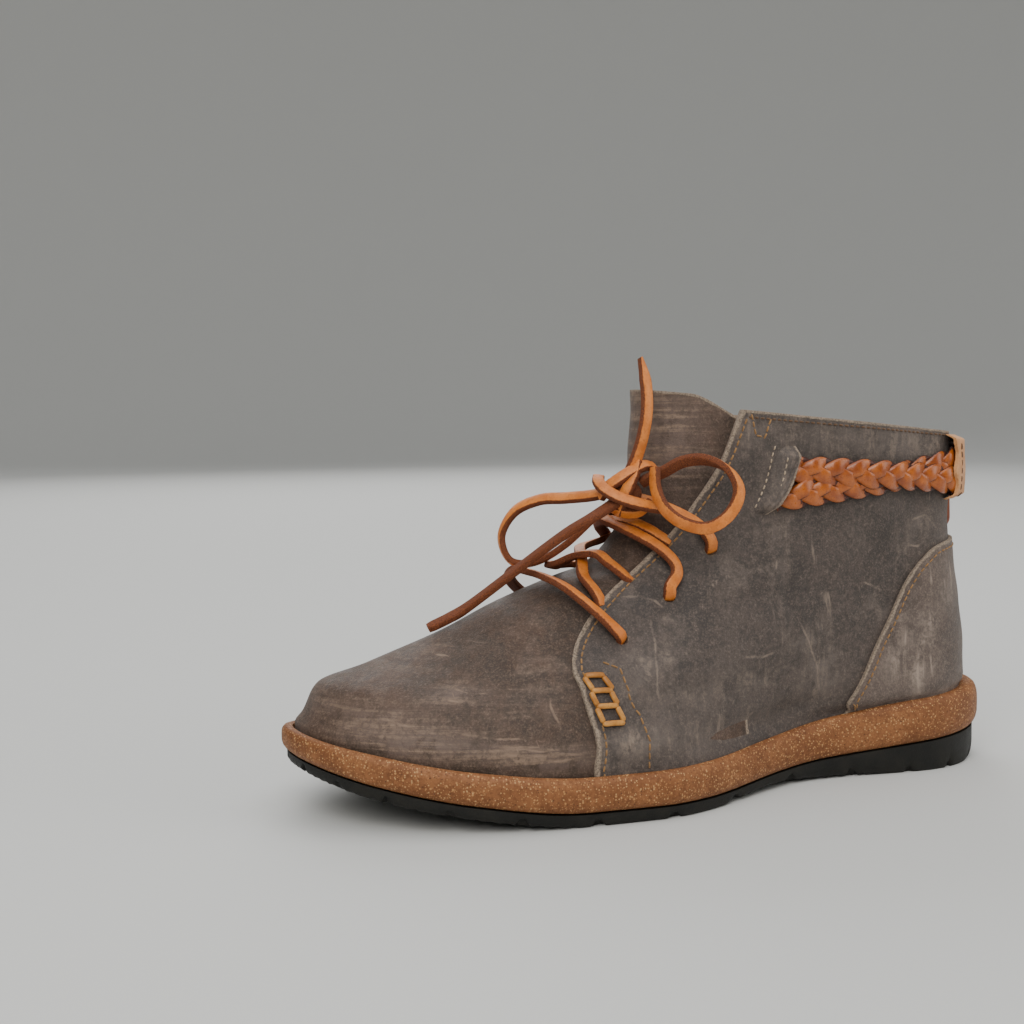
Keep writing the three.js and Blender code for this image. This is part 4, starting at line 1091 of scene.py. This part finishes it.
counterWear = dict(
    rubs=[(.235, .12, .012, .06, 1.0), (.20, .05, .05, .02, .9), (.275, .175, .015, .05, .9),
          (.255, .26, .02, .06, .6), (.225, .335, .02, .05, .7), (.16, .45, .04, .06, .6),
          (.10, .25, .03, .08, .7), (0, .10, .06, .05, .8), (0, .45, .05, .08, .6),
          (-.12, .20, .04, .08, .8), (-.22, .15, .03, .08, .9), (-.2, .4, .04, .06, .6)],
    scratches=[[(.235, .200), (.236, .130), (.235, .072)], [(.215, .200), (.212, .120)],
               [(.262, .300), (.258, .240)], [(.190, .500), (.182, .430)], [(-.20, .30), (-.205, .16)],
               [(-.09, .50), (-.08, .38)]])
place(leatherSheet("counter", turn, level, under, over, [counterLeather], "tlr", counterWear),
      "heel_counter")
rowTurns, rowLevels = shiftLine(half[:, 0], half[:, 1], -2.7)
keep = rowLevels > .03
counterTop = quarterTop(rowTurns[keep], rowLevels[keep]) + counter["over"] - 1.5 + counter["thickness"]
counterRow = bothSides(rowTurns[keep], rowLevels[keep], counterTop, spacing=2.6, length=2.0, radius=.3)
threadPiece("counter_stitches", counterRow, threads["goldenThread"], "heel_counter")
print("counter laid")

# braids: three flat strands each, plaited
braid = dict(period=25.5, phase=.12, sway=2.4, hop=.98, half=3.0, thick=1.15, base=3.35, sunk=2.0, tip=9,
             twist=.22, steps=170, guide=(.832, .06, .868))
strandSection = roundSection(12, .85, .6)
strandRough = np.clip((.50 - np.sin(np.linspace(0, 2 * np.pi, 12, endpoint=False))) / .5, 0, 1)


def braidParts(side, startTurn, startBeside, endBeside, lift, sink):
    startLevel, endTurn, endLevel = braid["guide"]
    share = np.linspace(0, 1, braid["steps"])
    t = side * mixed(startTurn, endTurn, share)
    l = mixed(startLevel, endLevel, share)
    perLevel = np.linalg.norm(lastPoint(t, l + .01) - lastPoint(t, l), axis=1) / .01
    beside = mixed(startBeside, endBeside, share) * 10
    middle = offLast(t, l + beside / perLevel, braid["base"])
    lengths = lengthsAlong(middle)
    meet = np.sin(np.pi * share) ** 2
    low = braid["sunk"] * (1 - np.minimum(1, lengths / braid["tip"]))
    parts = []
    for k in range(3):
        angle = 2 * np.pi * (lengths / braid["period"] + k / 3 + braid["phase"])
        across = beside + braid["sway"] * np.sin(angle)
        high = braid["base"] + braid["hop"] * np.sin(2 * angle) + (lift - sink) * meet - low
        path = offLast(t, l + across / perLevel, high)
        ups = outward(t, l)
        ups = ups + np.cross(ups, directions(path)) * (braid["twist"] * np.cos(angle))[:, None]
        width = braid["half"] * (1 - .1 * np.cos(angle) ** 2)
        size = np.stack([width, np.full(len(path), braid["thick"]) * (1 - .3 * sink * meet)], -1)
        # painted shade: a strand is darker where it dives under the others, added onto its cut-side mark
        diveShade = np.clip(-np.sin(2 * angle) - .05, 0, 1) * 1.1
        shade = np.clip(strandRough[None] + diveShade[:, None], 0, 1)
        parts.append((sweep(path, ups, strandSection, size), tubeFaces(len(path), 12), shade.ravel()))
    return parts


outerBraids = braidParts(1, .580, .5, -.56, 1.0, 0) + braidParts(1, .592, -.5, .56, 0, 1.1)
innerBraids = braidParts(-1, .580, .5, .5, 0, 0) + braidParts(-1, .592, -.5, -.5, 0, 0)
sweptPiece("braid_outer_plait", outerBraids, braidLeather, 60, "braid_outer")
sweptPiece("braid_inner_plait", innerBraids, braidLeather, 60, "braid_inner")
print("braids plaited")

# strap over the braid ends and the narrow strip below it
strap = dict(turn=.19, bottom=.765, top=.985, height=5.55, thickness=1.5, stitchTurn=.172)


def strapHigh(level):
    drop = np.minimum(blendStep(level, .763, .785), blendStep(level, .987, .965))
    return mixed(2.0, strap["height"], drop)


levels = np.concatenate([strap["bottom"] + np.array([0, .002, .005]), np.linspace(.775, .975, 40),
                         strap["top"] - np.array([.005, .002, 0])])
share = np.concatenate([[0, .01, .025], np.linspace(.05, .95, 40), [.975, .99, 1]])
level, share = np.meshgrid(levels, share, indexing="ij")
turn = strap["turn"] * (2 * share - 1) * (1 + .03 * np.sin(60 * level))
high = strapHigh(level) + .2 * np.sin(40 * share + 30 * level)
place(leatherSheet("strap", turn, level, high, high + strap["thickness"], [strapLeather], "tblr"),
      "back_strap")
rowLevels = np.linspace(.775, .975, 60)
strapRows = []
for at in (-strap["stitchTurn"], strap["stitchTurn"]):
    strapRows += stitchRow(np.full(60, at), rowLevels, strapHigh(rowLevels) + strap["thickness"])
threadPiece("strap_stitches", strapRows, threads["brownThread"], "back_strap")
strip = dict(levels=[.648, .650, .653, *np.linspace(.658, .785, 24)], wide=.095, taper=.050, lift=1.3,
             thickness=2.2)
share = np.concatenate([[0, .03, .08], np.linspace(.15, .85, 12), [.92, .97, 1]])
level, share = np.meshgrid(strip["levels"], share, indexing="ij")
turn = (strip["wide"] - strip["taper"] * blendStep(level, .70, .655)) * (2 * share - 1)
domed = strip["lift"] + strip["thickness"] * np.sin(np.pi * share) ** .35
place(leatherSheet("seam_strip", turn, level, strip["lift"], domed, [stripLeather], "lr"), "back_seam_strip")
print("strap and strip laid")

# thong ladder on each front edge
ladder = dict(bottom=.135, top=.290, behind=.019, half=.0096, windows=3, wide=.95, thick=.7)
thongSection = roundSection(10, .7, .8)


def thong(turns, levels, side, bow):
    count = 14
    share = np.linspace(0, 1, count)
    t, l = mixed(turns[0], turns[1], share) * side, mixed(levels[0], levels[1], share)
    path = offLast(t, l, quarterTop(t, l) + ladder["thick"] + bow * np.sin(np.pi * share) - .15)
    ends = closing(np.minimum(share, 1 - share), .16) * .75 + .25
    size = np.stack([ladder["wide"] * ends, ladder["thick"] * ends], -1)
    return sweep(path, outward(t, l), thongSection, size), tubeFaces(count, 10), np.zeros(count * 10)


for side, name in ((1, "side_ladder_outer"), (-1, "side_ladder_inner")):
    parts = []
    rungs = np.linspace(ladder["bottom"] + .008, ladder["top"] - .008, ladder["windows"] + 1)
    for i, at in enumerate(rungs):
        centre = float(edgeTurn(at)) - ladder["behind"]
        reach = ladder["half"] + .001
        parts.append(thong((centre - reach, centre + reach), (at, at), side, .5))
        if i == ladder["windows"]:
            continue
        following = rungs[i + 1]
        ahead = float(edgeTurn(following)) - ladder["behind"]
        for edgeSide in (-1, 1):
            shift = edgeSide * ladder["half"]
            parts.append(thong((centre + shift, ahead + shift), (at + .003, following - .003), side, .25))
    sweptPiece(name + "_thongs", parts, goldenLeather, 60, name)
print("ladders threaded")


# sole: cork-look midsole, rubber outsole and the insole
soleColumns = 420


def solePiece(name, rings, material, angle=50):
    # closed skin through rings of (inset, height function) round the sole's outline
    count = soleColumns
    turns = (np.arange(count) + .5) * 2 / count
    points = []
    for inset, height, *moved in rings:
        pointAt = moved[0] if moved else insetPoint
        xy = pointAt(turns, np.broadcast_to(inset, turns.shape))
        points.append(np.concatenate([xy, height(xy[:, 0], turns)[:, None]], 1))
    faces = ringQuads(len(rings), count)[:, [0, 3, 2, 1]].tolist()
    top = (len(rings) - 1) * count
    for i in range(count // 2 - 1):
        across = count - 1 - i
        faces.append([i, across, across - 1, i + 1])
        faces.append([top + i, top + i + 1, top + across - 1, top + across])
    return meshPiece(name, np.concatenate(points), faces, [material], angle)


def corkMaterial():
    made, shader = newMaterial("corkFoam", **{"IOR": 1.45})
    coords = objectCoords(made)
    patch = noise(made, coords, 90, 4, .6)
    fine = noise(made, coords, 900, 3, .65)
    colour = blended(made, ranged(made, patch, .35, .68), (.185, .064, .017), (.275, .106, .033))
    colour = blended(made, ranged(made, fine, .42, .7, 0, .55), colour, (.10, .034, .010))
    for scale, limit, tone in ((620, .30, (.47, .235, .085)), (1050, .36, (.52, .30, .130)),
                               (850, .24, (.07, .022, .007)), (1500, .40, (.40, .19, .070))):
        cells = node(made, "TexVoronoi", {"Vector": coords, "Scale": scale, "Randomness": 1.0})
        chosen = node(made, "SeparateColor", {0: cells.outputs["Color"]}).outputs[0]
        speck = times(made, ranged(made, cells.outputs["Distance"], limit * .6, limit, 1, 0),
                      ranged(made, chosen, .58, .62, 0, .85))
        colour = blended(made, speck, colour, tone)
    pits = weighted(made, (fine, .6), (patch, .5))
    return dressed(made, shader, colour, ranged(made, fine, .3, .7, .55, .75), pits, .0008, .5)


def rubberMaterial():
    made, shader = newMaterial("soleRubber", **{"Specular IOR Level": .3})
    coords = objectCoords(made)
    patch = noise(made, coords, 120, 4, .65)
    fine = noise(made, coords, 1400, 3, .7)
    colour = blended(made, ranged(made, patch, .35, .7), (.005, .005, .004), (.014, .013, .010))
    colour = blended(made, ranged(made, fine, .6, .8, 0, .3), colour, (.060, .056, .046))
    return dressed(made, shader, colour, ranged(made, patch, .3, .7, .5, .68), fine, .0003, .5)


def between(up):
    return lambda x, turns: mixed(underLine(x), rimLine(x), up) + .10 * np.sin(37 * turns + 3 * up) * up


def belowRim(low):
    return lambda x, turns: rimLine(x) - low


sideCurve = [(0, 1.3), (.03, .85), (.09, .45), (.18, .17), (.30, .03), (.42, 0), (.55, 0), (.68, .02),
             (.78, .10), (.87, .26), (.94, .48), (.985, .82), (1.0, 1.25)]
midRings = [(boot["edgeRound"] * inset, between(up)) for up, inset in sideCurve]
midRings += [(boot["rimWidth"] + deep, belowRim(low), seatPoint) for deep, low in (
    (.3, .1), (1.1, .25), (1.3, 1.0), (1.3, boot["cupDepth"]))]
place(solePiece("cork_midsole", midRings, corkMaterial()), "midsole")

tread = dict(grooveSpacing=10.5, grooveWidth=2.4, grooveDepth=2.0, nicks=15, nickDepth=2.0, scallop=.55,
             scallops=210)


def soleBottom(deep):
    def height(x, turns):
        y = insetPoint(turns, np.full(turns.shape, deep))[:, 1]
        spacing = tread["grooveSpacing"]
        wave = np.abs(((x + .35 * np.abs(y) * np.sign(boot["soleLength"] / 2 - x)) / spacing) % 1 - .5)
        groove = blendStep(wave * spacing, (spacing - tread["grooveWidth"]) / 2 - .3, spacing / 2 - .7)
        inside = blendStep(deep, 2.5, 4.5)
        return floorLine(x) + tread["grooveDepth"] * groove * inside * (deep < 30)
    return height


def edgeLug(share):
    def height(x, turns):
        low = floorLine(x)
        top = underLine(x) - boot["gap"]
        nick = blendStep(np.abs((turns * tread["nicks"]) % 1 - .5) * 2, .84, .93)
        scallop = tread["scallop"] * np.sin(turns * tread["scallops"]) ** 2
        low = low + nick * tread["nickDepth"] + scallop * (low > .2)
        return mixed(low, top, share)
    return height


inset = boot["outsoleInset"]
soleRings = [(deep, soleBottom(deep)) for deep in np.arange(32, 4.9, -.9)]
soleRings += [(inset + 2.6, soleBottom(3.2)), (inset + 1.5, edgeLug(0)), (inset + .8, edgeLug(.06)),
              (inset + .3, edgeLug(.18)), (inset, edgeLug(.4)), (inset, edgeLug(.8)), (inset, edgeLug(1))]
place(solePiece("rubber_outsole", soleRings, rubberMaterial(), 35), "outsole")

bed = featherInset + boot["vampWall"] + boot["liningGap"]


def bedHeight(up):
    return lambda x, turns: seatLine(x) + boot["gap"] + up


bedRings = [(bed + deep, bedHeight(high), seatPoint) for deep, high in (
    (0, 0), (0, 2.4), (.5, 3.0), (1.5, 3.1), (6, 2.6), (14, 2.4))]
place(solePiece("foot_bed", bedRings, liningLeather), "insole")
print("sole built")

# pale floor with a far upturned rim
floor = dict(radius=2.6, rise=1.8, colour=(.62, .62, .60))
profile = [(0, 0), (floor["radius"], 0)]
profile += [(floor["radius"] + floor["rise"] * math.sin(a), floor["rise"] * (1 - math.cos(a)))
            for a in np.linspace(.15, math.pi / 2, 10)] + [(floor["radius"] + floor["rise"], 5)]
around = 96
rings = [[(r * math.cos(a), r * math.sin(a), h) for a in np.linspace(0, 2 * math.pi, around, endpoint=False)]
         for r, h in profile[1:]]
mesh = bpy.data.meshes.new("studio_floor")
verts = [(0, 0, 0)] + [p for ring in rings for p in ring]
faces = [(0, 1 + i, 1 + (i + 1) % around) for i in range(around)]
for k in range(len(rings) - 1):
    for i in range(around):
        a, b = 1 + k * around + i, 1 + k * around + (i + 1) % around
        faces.append((a, a + around, b + around, b))
mesh.from_pydata(verts, [], faces)
mesh.polygons.foreach_set("use_smooth", [True] * len(mesh.polygons))
made, shader = newMaterial("paleFloor", Roughness=.8)
shader.inputs["Base Color"].default_value = floor["colour"] + (1,)
mesh.materials.append(made)
floorPiece = bpy.data.objects.new("studio_floor", mesh)
bpy.context.scene.collection.objects.link(floorPiece)

print("finished")
